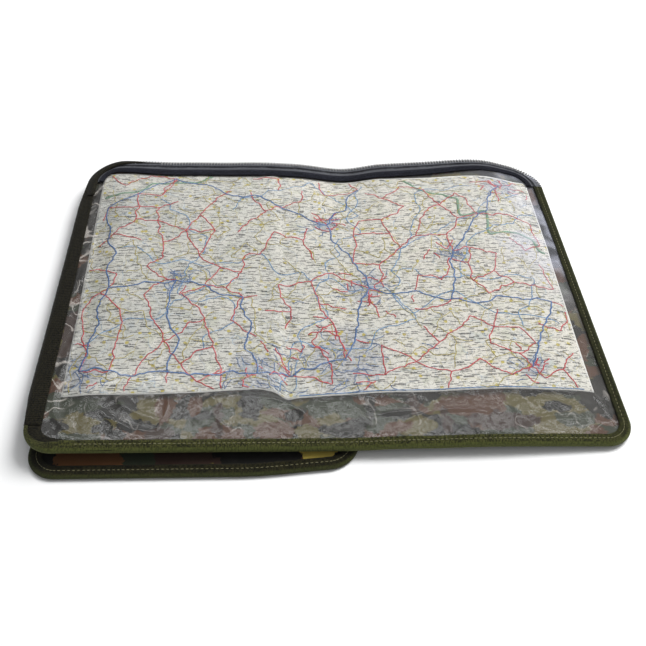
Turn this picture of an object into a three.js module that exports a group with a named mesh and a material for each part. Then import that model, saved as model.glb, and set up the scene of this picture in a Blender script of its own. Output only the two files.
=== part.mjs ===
// Folding map case: a map pocket with a clear window, and a cloth cover leaf folded under its left half.
// Lengths are in millimetres and +Z is up. X runs across the case from its spine, Y runs from its front
// edge to its zip, and the case lies on the plane z = 0. All pieces but the cover leaf are made flat on the
// pocket leaf and then lifted by leafHeight, so the whole leaf arches and dips as one.
import * as THREE from "three";

// Sizes of the two leaves
const POCKET_WIDTH = 560;
const LEAF_DEPTH = 428; // of the pocket and the cover leaf alike
const POCKET_CORNER = 28;
const ZIP_CORNER = 40;
const COVER_WIDTH = 299;
const COVER_CORNER = 28;
const COVER_STEP = 17; // how far the cover leaf shows in front of the pocket, at the spine
const COVER_INSET = 3; // how far the cover leaf's left edge lies inside the pocket's
const COVER_SKEW_DEGREES = 1;

// Thicknesses and clearances
const CLOTH = 1.5;
const WINDOW = 0.6;
const PAPER = 0.5;
const TAPE = 0.9;
const ZIP_TAPE = 0.7;
const CLEARANCE = 0.45;
const PAPER_PLAY = 0.6; // over and under the map, whose folds need more room

// Widths of the bands along the edges
const BINDING_LEG = 11.5;
const COVER_BINDING_LEG = 12.5;
const TAPE_ROUNDING = 0.8;
const SPINE_LEG = 22;
const SPINE_BULGE = 5;
const SPINE_END_GAP = 2; // between the spine band and the corner that it stops short of
const CHAIN_WIDTH = 6;
const CHAIN_HEIGHT = 3.2;
const CHAIN_ROUNDING = 1;
const ZIP_TAPE_REACH = 24;
const ZIP_SLOPE_WIDTH = 6;
const CUT_PLAY = 1.2; // from the tape's bend to the cut edges of cloth and window
const HEM_LAP = 5; // how far the hem strip lies over the zip tape
const HEM_REACH = 5; // how far it lies over the window
const BINDING_JOIN = 0.6; // between the two ends of the cover leaf's binding
const CORNER_NOTCH = 4; // length over which a leaf narrows in front of the zip's corners

// Slider at the hidden end of the zip
const SLIDER_LENGTH = 11;
const SLIDER_HEIGHT = 2.6;
const SLIDER_WAIST = 1.2; // how much narrower its far end is
const PULL_LENGTH = 14;
const PULL_WIDTH = 3;
const SLIDER_PLACE = 60; // from the left edge of the pocket

// Bare margins between the edges of the pocket and the map, which is folded to fit
const MAP_LEFT = 26;
const MAP_RIGHT = 20;
const MAP_FRONT = 62;
const MAP_BACK = 30;

// Swell of the window over the map, and how far in from its flat margin it takes to rise
const WINDOW_SWELL = 4.6;
const SWELL_SHOULDER = 32;

// Height of the pocket leaf over what it lies on, as shares of ARCH_HEIGHT, along its front edge, its middle
// and its zip edge. The column across is a share of POCKET_WIDTH from the spine.
const ARCH_HEIGHT = 18;
const ARCHES = [
  { across: 0.0, front: 0.57, middle: 0.41, zip: 0.57 },
  { across: 0.09, front: 0.46, middle: 0.57, zip: 0.9 },
  { across: 0.19, front: 0.35, middle: 0.57, zip: 0.68 },
  { across: 0.34, front: 0.21, middle: 0.46, zip: 0.63 },
  { across: 0.45, front: 0.1, middle: 0.24, zip: 0.41 },
  { across: 0.55, front: 0.04, middle: 0.05, zip: 0.05 },
  { across: 0.64, front: 0.28, middle: 0.28, zip: 0.55 },
  { across: 0.74, front: 0.34, middle: 0.37, zip: 0.73 },
  { across: 0.86, front: 0.21, middle: 0.32, zip: 0.88 },
  { across: 0.94, front: 0.09, middle: 0.12, zip: 0.46 },
  { across: 1.0, front: 0.0, middle: 0.0, zip: 0.0 },
];
// Past the cover leaf's edge the pocket comes down to the table, over this length
const STEP_DOWN = 70;

// Mesh steps
const CORNER_ROWS = 3;
const POCKET_COLUMNS = 33;
const POCKET_ROWS = 16;
const COVER_COLUMNS = 14;
const COVER_ROWS = 14;
const MAP_COLUMNS = 24;
const MAP_ROWS = 10;
const CORNER_STEPS = 5;
const EDGE_STEP = 15;
const FLAT_EDGE_STEP = 90;
const SPINE_LEG_STEPS = 2;
const SPINE_FOLD_STEPS = 8;
const SPINE_LENGTH_STEPS = 20;

// Worked out from the sizes above
const tapeSeat = TAPE + CLEARANCE; // from the outside of a binding to what it holds
const pocketStack = CLOTH + PAPER_PLAY + PAPER + PAPER_PLAY + WINDOW;
const coverTop = tapeSeat + CLOTH + tapeSeat;
const chainMiddle = pocketStack / 2;
const chainEdge = CHAIN_WIDTH + CLEARANCE;
const slopeEnd = chainEdge + ZIP_SLOPE_WIDTH;
const clothZipInset = slopeEnd + CUT_PLAY;
const hemStart = ZIP_TAPE_REACH - HEM_LAP;
const hemEnd = ZIP_TAPE_REACH + HEM_REACH;
const coverSkew = THREE.MathUtils.degToRad(COVER_SKEW_DEGREES);
const coverEdge = COVER_INSET + COVER_WIDTH * Math.cos(coverSkew) + LEAF_DEPTH * Math.sin(coverSkew);

const arches = new THREE.CubicInterpolant(
  ARCHES.map((row) => row.across),
  ARCHES.flatMap((row) => [row.front, row.middle, row.zip]),
  3,
);

// Height of the underside of the pocket's cloth back above the table
function leafHeight(x, y) {
  const across = THREE.MathUtils.clamp(x / POCKET_WIDTH, 0, 1);
  const along = THREE.MathUtils.clamp(y / LEAF_DEPTH, 0, 1);
  const [front, middle, zip] = arches.evaluate(across);
  const arch =
    front * (1 - along) * (1 - 2 * along) + middle * 4 * along * (1 - along) + zip * along * (2 * along - 1);
  const stepDown = THREE.MathUtils.smoothstep(x, coverEdge, coverEdge + STEP_DOWN);
  return tapeSeat + (coverTop + CLEARANCE) * (1 - stepDown) + arch * ARCH_HEIGHT;
}

// Moves each vertex of a geometry to the place that a function gives for it
function reshape(geometry, place) {
  const positions = geometry.attributes.position;
  for (let index = 0; index < positions.count; index += 1) {
    const [x, y, z] = place(positions.getX(index), positions.getY(index), positions.getZ(index));
    positions.setXYZ(index, x, y, z);
  }
  geometry.computeVertexNormals();
  return geometry;
}

// A leaf outline with rounded corners, set in from a rectangle by a length on each side. It gives the place
// of each grid line, with rows that follow the corner arcs and columns at the margins. Where a back corner
// is set in further than the sides are, the outline is notched just in front of it.
class LeafGrid {
  constructor({ width, depth, corners, set, margins, columns, rows }) {
    this.width = width;
    this.left = set.left;
    this.right = width - set.right;
    this.front = set.front;
    this.back = depth - set.back;
    this.frontCorner = { radius: corners.front, arc: corners.front - set.front, centre: corners.front };
    this.backCorner = { radius: corners.back, arc: corners.back - set.back, centre: depth - corners.back };
    this.margins = margins;
    this.columns = columns;
    this.rows = rows;
  }

  rowPlace(row) {
    const turn = (step) => Math.cos(((step / CORNER_ROWS) * Math.PI) / 2);
    if (row <= CORNER_ROWS) {
      return this.frontCorner.centre - this.frontCorner.arc * turn(row);
    }
    if (row >= this.rows - CORNER_ROWS) {
      return this.backCorner.centre + this.backCorner.arc * turn(this.rows - row);
    }
    const share = (row - CORNER_ROWS) / (this.rows - 2 * CORNER_ROWS - 1);
    return THREE.MathUtils.lerp(this.frontCorner.centre, this.backCorner.centre - CORNER_NOTCH, share);
  }

  // How far the outline is set in from the rectangle's sides at a row in a corner, or nothing outside them
  cornerSet(y) {
    const corner = y < this.frontCorner.centre ? this.frontCorner : this.backCorner;
    const rise = Math.abs(y - corner.centre);
    const within = y < this.frontCorner.centre || y >= this.backCorner.centre;
    return within ? corner.radius - Math.sqrt(Math.max(corner.arc * corner.arc - rise * rise, 0)) : 0;
  }

  columnPlace(column, y) {
    const left = Math.max(this.left, this.cornerSet(y));
    const right = Math.min(this.right, this.width - this.cornerSet(y));
    if (column === 0) {
      return left;
    }
    if (column === this.columns) {
      return right;
    }
    const share = (column - 1) / (this.columns - 2);
    return THREE.MathUtils.lerp(left + this.margins.left, right - this.margins.right, share);
  }

  // 0 on the flat margins, 1 past the shoulders
  swell(column, row, x, y) {
    if (column <= 1 || column >= this.columns - 1 || row < CORNER_ROWS || row > this.rows - CORNER_ROWS) {
      return 0;
    }
    const sides = [
      x - this.left - this.margins.left,
      this.right - this.margins.right - x,
      y - this.front - this.margins.front,
      this.back - this.margins.back - y,
    ];
    return sides.reduce((share, side) => share * THREE.MathUtils.smoothstep(side, 0, SWELL_SHOULDER), 1);
  }

  // A closed sheet on this grid. The function surface gives the height of its underside from x, y and swell.
  sheet(thickness, surface) {
    const geometry = new THREE.BoxGeometry(1, 1, 1, this.columns, this.rows, 1);
    return reshape(geometry, (across, along, side) => {
      const column = Math.round((across + 0.5) * this.columns);
      const row = Math.round((along + 0.5) * this.rows);
      const y = this.rowPlace(row);
      const x = this.columnPlace(column, y);
      const under = surface(x, y, this.swell(column, row, x, y));
      return [x, y, side > 0 ? under + thickness : under];
    });
  }
}

// Quarter turns from +X to the outward normal of each side of a leaf
const SIDE_TURNS = { right: 0, back: 1, left: 2, front: 3 };

// Stations along one rounded corner, turning anticlockwise from the end of a side, with outward normals
function cornerStations(centreX, centreY, radius, side) {
  return Array.from({ length: CORNER_STEPS + 1 }, (_, step) => {
    const angle = (SIDE_TURNS[side] + step / CORNER_STEPS) * (Math.PI / 2);
    const normal = new THREE.Vector2(Math.cos(angle), Math.sin(angle));
    return { x: centreX + radius * normal.x, y: centreY + radius * normal.y, normal };
  });
}

// Fills the straight between two stations with steps of about the given length
function joinStations(before, after, edgeStep) {
  const start = before[before.length - 1];
  const end = after[0];
  const length = Math.hypot(end.x - start.x, end.y - start.y);
  const steps = Math.max(1, Math.round(length / edgeStep));
  const between = Array.from({ length: steps - 1 }, (_, step) => {
    const share = (step + 1) / steps;
    return {
      x: THREE.MathUtils.lerp(start.x, end.x, share),
      y: THREE.MathUtils.lerp(start.y, end.y, share),
      normal: start.normal,
    };
  });
  return [...before, ...between, ...after];
}

// A strip with one section along the stations of an edge. The section's x is the distance in from the edge
// and its y is the height over the surface that lift gives.
function edgeStrip(stations, section, lift) {
  const shape = new THREE.Shape(section.map(([inset, height]) => new THREE.Vector2(inset, height)));
  const steps = stations.length - 1;
  const geometry = new THREE.ExtrudeGeometry(shape, { depth: steps, steps, bevelEnabled: false });
  return reshape(geometry, (inset, height, step) => {
    const station = stations[Math.round(step)];
    const x = station.x - station.normal.x * inset;
    const y = station.y - station.normal.y * inset;
    return [x, y, lift(x, y) + height];
  });
}

// Section of a tape folded over an edge: a channel that holds a stack of the given height
function channelSection(leg, stack) {
  const low = -tapeSeat;
  const high = stack + tapeSeat;
  return [
    [leg, low],
    [TAPE_ROUNDING, low],
    [0, low + TAPE_ROUNDING],
    [0, high - TAPE_ROUNDING],
    [TAPE_ROUNDING, high],
    [leg, high],
    [leg, high - TAPE],
    [TAPE, high - TAPE],
    [TAPE, low + TAPE],
    [leg, low + TAPE],
  ];
}

const zipLine = LEAF_DEPTH - ZIP_CORNER;
const pocketCorner = {
  frontLeft: cornerStations(POCKET_CORNER, POCKET_CORNER, POCKET_CORNER, "left"),
  frontRight: cornerStations(POCKET_WIDTH - POCKET_CORNER, POCKET_CORNER, POCKET_CORNER, "front"),
  backRight: cornerStations(POCKET_WIDTH - ZIP_CORNER, zipLine, ZIP_CORNER, "right"),
  backLeft: cornerStations(ZIP_CORNER, zipLine, ZIP_CORNER, "back"),
};

// Grid that the cloth back and the window share
const pocketGrid = new LeafGrid({
  width: POCKET_WIDTH,
  depth: LEAF_DEPTH,
  corners: { front: POCKET_CORNER, back: ZIP_CORNER },
  set: { left: tapeSeat, right: tapeSeat, front: tapeSeat, back: clothZipInset },
  margins: { left: SPINE_LEG, right: BINDING_LEG, front: BINDING_LEG, back: ZIP_CORNER - clothZipInset },
  columns: POCKET_COLUMNS,
  rows: POCKET_ROWS,
});

function pocketBack() {
  return pocketGrid.sheet(CLOTH, (x, y) => leafHeight(x, y));
}

function pocketWindow() {
  const base = pocketStack - WINDOW;
  return pocketGrid.sheet(WINDOW, (x, y, swell) => leafHeight(x, y) + base + WINDOW_SWELL * swell);
}

function mapSheet() {
  const width = POCKET_WIDTH - MAP_LEFT - MAP_RIGHT;
  const depth = LEAF_DEPTH - MAP_FRONT - MAP_BACK;
  const geometry = new THREE.BoxGeometry(width, depth, PAPER, MAP_COLUMNS, MAP_ROWS, 1);
  return reshape(geometry, (across, along, side) => {
    const x = MAP_LEFT + width / 2 + across;
    const y = MAP_FRONT + depth / 2 + along;
    return [x, y, leafHeight(x, y) + CLOTH + PAPER_PLAY + PAPER / 2 + side];
  });
}

// Folded tape from the spine's front end round the front edge and up the right edge to the zip
function pocketBinding() {
  const front = joinStations(pocketCorner.frontLeft, pocketCorner.frontRight, EDGE_STEP);
  const turn = pocketCorner.backRight[0];
  const last = { x: turn.x, y: turn.y - CLEARANCE, normal: turn.normal };
  const stations = joinStations(front, [last], EDGE_STEP);
  return edgeStrip(stations, channelSection(BINDING_LEG, pocketStack), leafHeight);
}

function zipStations() {
  return joinStations(pocketCorner.backRight, pocketCorner.backLeft, EDGE_STEP);
}

function zipChain() {
  const low = chainMiddle - CHAIN_HEIGHT / 2;
  const high = chainMiddle + CHAIN_HEIGHT / 2;
  const section = [
    [CHAIN_WIDTH, low],
    [CHAIN_ROUNDING, low],
    [0, low + CHAIN_ROUNDING],
    [0, high - CHAIN_ROUNDING],
    [CHAIN_ROUNDING, high],
    [CHAIN_WIDTH, high],
  ];
  return edgeStrip(zipStations(), section, leafHeight);
}

function zipTapeUpper() {
  const seat = pocketStack + CLEARANCE;
  const meeting = chainMiddle + CLEARANCE / 2;
  const section = [
    [ZIP_TAPE_REACH, seat],
    [slopeEnd, seat],
    [chainEdge, meeting],
    [chainEdge, meeting + ZIP_TAPE],
    [slopeEnd, seat + ZIP_TAPE],
    [ZIP_TAPE_REACH, seat + ZIP_TAPE],
  ];
  return edgeStrip(zipStations(), section, leafHeight);
}

function zipTapeLower() {
  const seat = -CLEARANCE;
  const meeting = chainMiddle - CLEARANCE / 2;
  const section = [
    [ZIP_TAPE_REACH, seat - ZIP_TAPE],
    [slopeEnd, seat - ZIP_TAPE],
    [chainEdge, meeting - ZIP_TAPE],
    [chainEdge, meeting],
    [slopeEnd, seat],
    [ZIP_TAPE_REACH, seat],
  ];
  return edgeStrip(zipStations(), section, leafHeight);
}

// Narrow strip that steps down from the zip tape to the window
function windowHem() {
  const low = pocketStack + CLEARANCE;
  const high = low + ZIP_TAPE + CLEARANCE;
  const step = ZIP_TAPE_REACH + CLEARANCE;
  const section = [
    [hemStart, high],
    [step, high],
    [step, low],
    [hemEnd, low],
    [hemEnd, low + ZIP_TAPE],
    [step + ZIP_TAPE, high + ZIP_TAPE],
    [hemStart, high + ZIP_TAPE],
  ];
  return edgeStrip(zipStations(), section, leafHeight);
}

// Slider and its pull, lying against the underside of the chain near the spine
function zipSlider() {
  const halfPull = PULL_WIDTH / 2;
  const middle = CHAIN_WIDTH / 2;
  const outline = new THREE.Shape([
    new THREE.Vector2(0, 0),
    new THREE.Vector2(SLIDER_LENGTH, SLIDER_WAIST),
    new THREE.Vector2(SLIDER_LENGTH, middle - halfPull),
    new THREE.Vector2(SLIDER_LENGTH + PULL_LENGTH, middle - halfPull),
    new THREE.Vector2(SLIDER_LENGTH + PULL_LENGTH, middle + halfPull),
    new THREE.Vector2(SLIDER_LENGTH, middle + halfPull),
    new THREE.Vector2(SLIDER_LENGTH, CHAIN_WIDTH - SLIDER_WAIST),
    new THREE.Vector2(0, CHAIN_WIDTH),
  ]);
  const geometry = new THREE.ExtrudeGeometry(outline, { depth: SLIDER_HEIGHT, bevelEnabled: false });
  const top = chainMiddle - CHAIN_HEIGHT / 2 - CLEARANCE;
  return reshape(geometry, (along, inset, height) => {
    const x = SLIDER_PLACE + along;
    const y = LEAF_DEPTH - CHAIN_WIDTH + inset;
    return [x, y, leafHeight(x, y) + top - SLIDER_HEIGHT + height];
  });
}

// Band that folds round the left edge: from the cover leaf's top face, out and up, onto the window's edge
function spineBand() {
  const start = POCKET_CORNER + SPINE_END_GAP;
  const end = zipLine - SPINE_END_GAP;
  const sections = 2 * SPINE_LEG_STEPS + SPINE_FOLD_STEPS;
  const low = coverTop + CLEARANCE + TAPE / 2;
  const overLeaf = pocketStack + CLEARANCE + TAPE / 2;
  const geometry = new THREE.BoxGeometry(1, 1, TAPE, sections, SPINE_LENGTH_STEPS, 1);
  return reshape(geometry, (across, along, side) => {
    const section = Math.round((across + 0.5) * sections);
    const y = THREE.MathUtils.lerp(start, end, along + 0.5);
    if (section < SPINE_LEG_STEPS) {
      const reach = SPINE_LEG * (1 - section / SPINE_LEG_STEPS);
      return [reach, y, low - side];
    }
    if (section > SPINE_LEG_STEPS + SPINE_FOLD_STEPS) {
      const reach = SPINE_LEG * ((section - SPINE_LEG_STEPS - SPINE_FOLD_STEPS) / SPINE_LEG_STEPS);
      return [reach, y, leafHeight(reach, y) + overLeaf + side];
    }
    const high = leafHeight(0, y) + overLeaf;
    const turn = ((section - SPINE_LEG_STEPS) / SPINE_FOLD_STEPS) * Math.PI;
    const rise = (high - low) / 2 + side;
    return [-(SPINE_BULGE + side) * Math.sin(turn), y, (high + low) / 2 - rise * Math.cos(turn)];
  });
}

const coverGrid = new LeafGrid({
  width: COVER_WIDTH,
  depth: LEAF_DEPTH,
  corners: { front: COVER_CORNER, back: COVER_CORNER },
  set: { left: tapeSeat, right: tapeSeat, front: tapeSeat, back: tapeSeat },
  margins: {
    left: COVER_BINDING_LEG,
    right: COVER_BINDING_LEG,
    front: COVER_BINDING_LEG,
    back: COVER_BINDING_LEG,
  },
  columns: COVER_COLUMNS,
  rows: COVER_ROWS,
});

// Cloth held up by its binding along the edges, and lying on the table inside them
function coverLeaf() {
  return coverGrid.sheet(CLOTH, (x, y, swell) => tapeSeat * (1 - swell));
}

// Tape all round the cover leaf, whose ends meet on the spine side
function coverBinding() {
  const right = COVER_WIDTH - COVER_CORNER;
  const back = LEAF_DEPTH - COVER_CORNER;
  const outward = new THREE.Vector2(-1, 0);
  const stations = [
    [{ x: 0, y: LEAF_DEPTH / 2 - BINDING_JOIN / 2, normal: outward }],
    cornerStations(COVER_CORNER, COVER_CORNER, COVER_CORNER, "left"),
    cornerStations(right, COVER_CORNER, COVER_CORNER, "front"),
    cornerStations(right, back, COVER_CORNER, "right"),
    cornerStations(COVER_CORNER, back, COVER_CORNER, "back"),
    [{ x: 0, y: LEAF_DEPTH / 2 + BINDING_JOIN / 2, normal: outward }],
  ].reduce((before, after) => joinStations(before, after, FLAT_EDGE_STEP));
  return edgeStrip(stations, channelSection(COVER_BINDING_LEG, CLOTH), () => tapeSeat);
}

const FINISHES = {
  camouflage: new THREE.MeshStandardMaterial({ color: 0x3a3a26, roughness: 0.95, metalness: 0 }),
  clear: new THREE.MeshStandardMaterial({ color: 0xd8dcdc, roughness: 0.15, metalness: 0 }),
  paper: new THREE.MeshStandardMaterial({ color: 0xd2cdc2, roughness: 0.8, metalness: 0 }),
  olive: new THREE.MeshStandardMaterial({ color: 0x4c4c2b, roughness: 0.9, metalness: 0 }),
  dark: new THREE.MeshStandardMaterial({ color: 0x23221b, roughness: 0.95, metalness: 0 }),
  zipTape: new THREE.MeshStandardMaterial({ color: 0x45464a, roughness: 0.9, metalness: 0 }),
  zipTeeth: new THREE.MeshStandardMaterial({ color: 0x2b2b2c, roughness: 0.5, metalness: 0 }),
  slider: new THREE.MeshStandardMaterial({ color: 0x1c1c1c, roughness: 0.4, metalness: 0.6 }),
};

function piece(name, geometry, finish) {
  const mesh = new THREE.Mesh(geometry, FINISHES[finish]);
  mesh.name = name;
  return mesh;
}

const pocket = new THREE.Group();
pocket.add(
  piece("pocket_back", pocketBack(), "camouflage"),
  piece("map_sheet", mapSheet(), "paper"),
  piece("pocket_window", pocketWindow(), "clear"),
  piece("pocket_binding", pocketBinding(), "olive"),
  piece("spine_band", spineBand(), "dark"),
  piece("window_hem", windowHem(), "dark"),
  piece("zip_tape_upper", zipTapeUpper(), "zipTape"),
  piece("zip_tape_lower", zipTapeLower(), "zipTape"),
  piece("zip_chain", zipChain(), "zipTeeth"),
  piece("zip_slider", zipSlider(), "slider"),
);

const cover = new THREE.Group();
cover.add(
  piece("cover_leaf", coverLeaf(), "camouflage"),
  piece("cover_binding", coverBinding(), "olive"),
);
cover.position.set(COVER_INSET, -COVER_STEP, 0);
cover.rotation.z = -coverSkew;

// The whole case stands on z = 0, with the origin under the middle of its outline
const mapCase = new THREE.Group();
mapCase.add(pocket, cover);
mapCase.updateMatrixWorld(true);
const bounds = new THREE.Box3().setFromObject(mapCase, true);
const middle = bounds.getCenter(new THREE.Vector3());
mapCase.position.set(-middle.x, -middle.y, -bounds.min.z);

export default mapCase;
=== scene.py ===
"""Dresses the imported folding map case: cloth, film over a printed map, edge tape, zip and spine.

Every length is in metres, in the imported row's frame. Most pieces are laid out flat on the pocket
leaf and then lifted by the leaf's own height, so that they arch and dip as one.
"""

import logging
import math
import random
from collections.abc import Callable, Sequence
from dataclasses import dataclass, field
from enum import Enum

import bmesh
import bpy
from mathutils import Matrix, Vector, noise


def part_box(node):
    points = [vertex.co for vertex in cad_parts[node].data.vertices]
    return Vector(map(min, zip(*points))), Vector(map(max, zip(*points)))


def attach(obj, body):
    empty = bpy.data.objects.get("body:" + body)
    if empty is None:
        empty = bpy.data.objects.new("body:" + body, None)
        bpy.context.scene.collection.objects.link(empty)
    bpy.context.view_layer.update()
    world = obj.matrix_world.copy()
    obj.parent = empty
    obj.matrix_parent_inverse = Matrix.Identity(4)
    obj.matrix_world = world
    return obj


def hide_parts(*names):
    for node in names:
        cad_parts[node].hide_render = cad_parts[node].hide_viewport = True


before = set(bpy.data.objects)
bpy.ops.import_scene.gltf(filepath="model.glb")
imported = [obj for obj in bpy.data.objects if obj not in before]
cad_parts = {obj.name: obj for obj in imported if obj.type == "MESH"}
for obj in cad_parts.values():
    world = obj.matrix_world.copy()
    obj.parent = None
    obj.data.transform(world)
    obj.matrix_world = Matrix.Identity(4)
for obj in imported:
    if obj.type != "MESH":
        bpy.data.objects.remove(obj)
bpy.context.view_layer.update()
LOG = logging.getLogger("map_case")

Socket = bpy.types.NodeSocket
Triple = tuple[float, float, float]
Pair = tuple[float, float]
Place = Callable[[int, int], tuple[Vector, Vector]]


def smooth(value: float, start: float, end: float) -> float:
    """Eases from 0 at start to 1 at end.

    Args:
        value: the number to place.
        start: where the ease begins.
        end: where the ease is done.

    Returns:
        The eased share, from 0 to 1.
    """
    share = min(max((value - start) / (end - start), 0.0), 1.0)
    return share * share * (3.0 - 2.0 * share)


def through(knots: Sequence[Pair], at: float) -> float:
    """Reads a smooth curve that passes through its knots.

    Args:
        knots: pairs of place and value, in order of place.
        at: the place to read.

    Returns:
        The value there, held level past both ends.
    """
    if at <= knots[0][0]:
        return knots[0][1]
    if at >= knots[-1][0]:
        return knots[-1][1]
    right = next(index for index, knot in enumerate(knots) if knot[0] >= at)
    left = right - 1

    def slope(index: int) -> float:
        """Slope of the chord round a knot."""
        before, after = max(index - 1, 0), min(index + 1, len(knots) - 1)
        return (knots[after][1] - knots[before][1]) / (knots[after][0] - knots[before][0])

    span = knots[right][0] - knots[left][0]
    t = (at - knots[left][0]) / span
    value = (2 * t**3 - 3 * t**2 + 1) * knots[left][1] + (3 * t**2 - 2 * t**3) * knots[right][1]
    return value + span * ((t**3 - 2 * t**2 + t) * slope(left) + (t**3 - t**2) * slope(right))


def ripple(x: float, y: float, size: float, seed: float) -> float:
    """Smooth noise from about -1 to 1 whose bumps are about size across."""
    return noise.noise(Vector((x / size, y / size, seed)))


def warp_grid(
    bm: bmesh.types.BMesh, columns: int, rows: int, place: Place
) -> list[bmesh.types.BMVert]:
    """Adds a grid of faces and moves each of its vertices to its place.

    Args:
        bm: the mesh to add to.
        columns: faces along the first direction.
        rows: faces along the second direction.
        place: gives the point and the flat place in metres for a column and row.

    Returns:
        The new vertices.
    """
    made = bmesh.ops.create_grid(bm, x_segments=columns, y_segments=rows, size=1.0)["verts"]
    pattern = bm.loops.layers.uv.verify()
    for vert in made:
        column = round((vert.co.x + 1) / 2 * columns)
        row = round((vert.co.y + 1) / 2 * rows)
        point, flat = place(column, row)
        vert.co = point
        for loop in vert.link_loops:
            loop[pattern].uv = flat.to_2d()
    return made


def soften_edges(
    bm: bmesh.types.BMesh, verts: Sequence[bmesh.types.BMVert], offset: float, segments: int
) -> None:
    """Bevels every edge of one small block.

    Args:
        bm: the mesh that holds the block.
        verts: the block's vertices.
        offset: width of the bevel.
        segments: faces across the bevel.
    """
    edges = list({edge for vert in verts for edge in vert.link_edges})
    bmesh.ops.bevel(
        bm,
        geom=edges,
        offset=offset,
        offset_type="OFFSET",
        segments=segments,
        profile=0.5,
        affect="EDGES",
        material=-1,
    )


def finish_piece(
    bm: bmesh.types.BMesh,
    name: str,
    material: bpy.types.Material,
    thickness: float = 0.0,
) -> bpy.types.Object:
    """Turns a mesh into a named piece that rides on the case.

    Args:
        bm: the mesh, which is used up.
        name: the piece's name.
        material: its finish.
        thickness: wall given to an open sheet, half on each side.

    Returns:
        The new object.
    """
    mesh = bpy.data.meshes.new(name)
    bm.to_mesh(mesh)
    bm.free()
    mesh.shade_smooth()
    mesh.materials.append(material)
    piece = bpy.data.objects.new(name, mesh)
    bpy.context.scene.collection.objects.link(piece)
    if thickness:
        wall = piece.modifiers.new("wall", "SOLIDIFY")
        wall.thickness = thickness
        wall.offset = 0.0
        wall.use_even_offset = False
    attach(piece, "root")
    LOG.info("%s: %d faces", name, len(mesh.polygons))
    return piece


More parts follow.
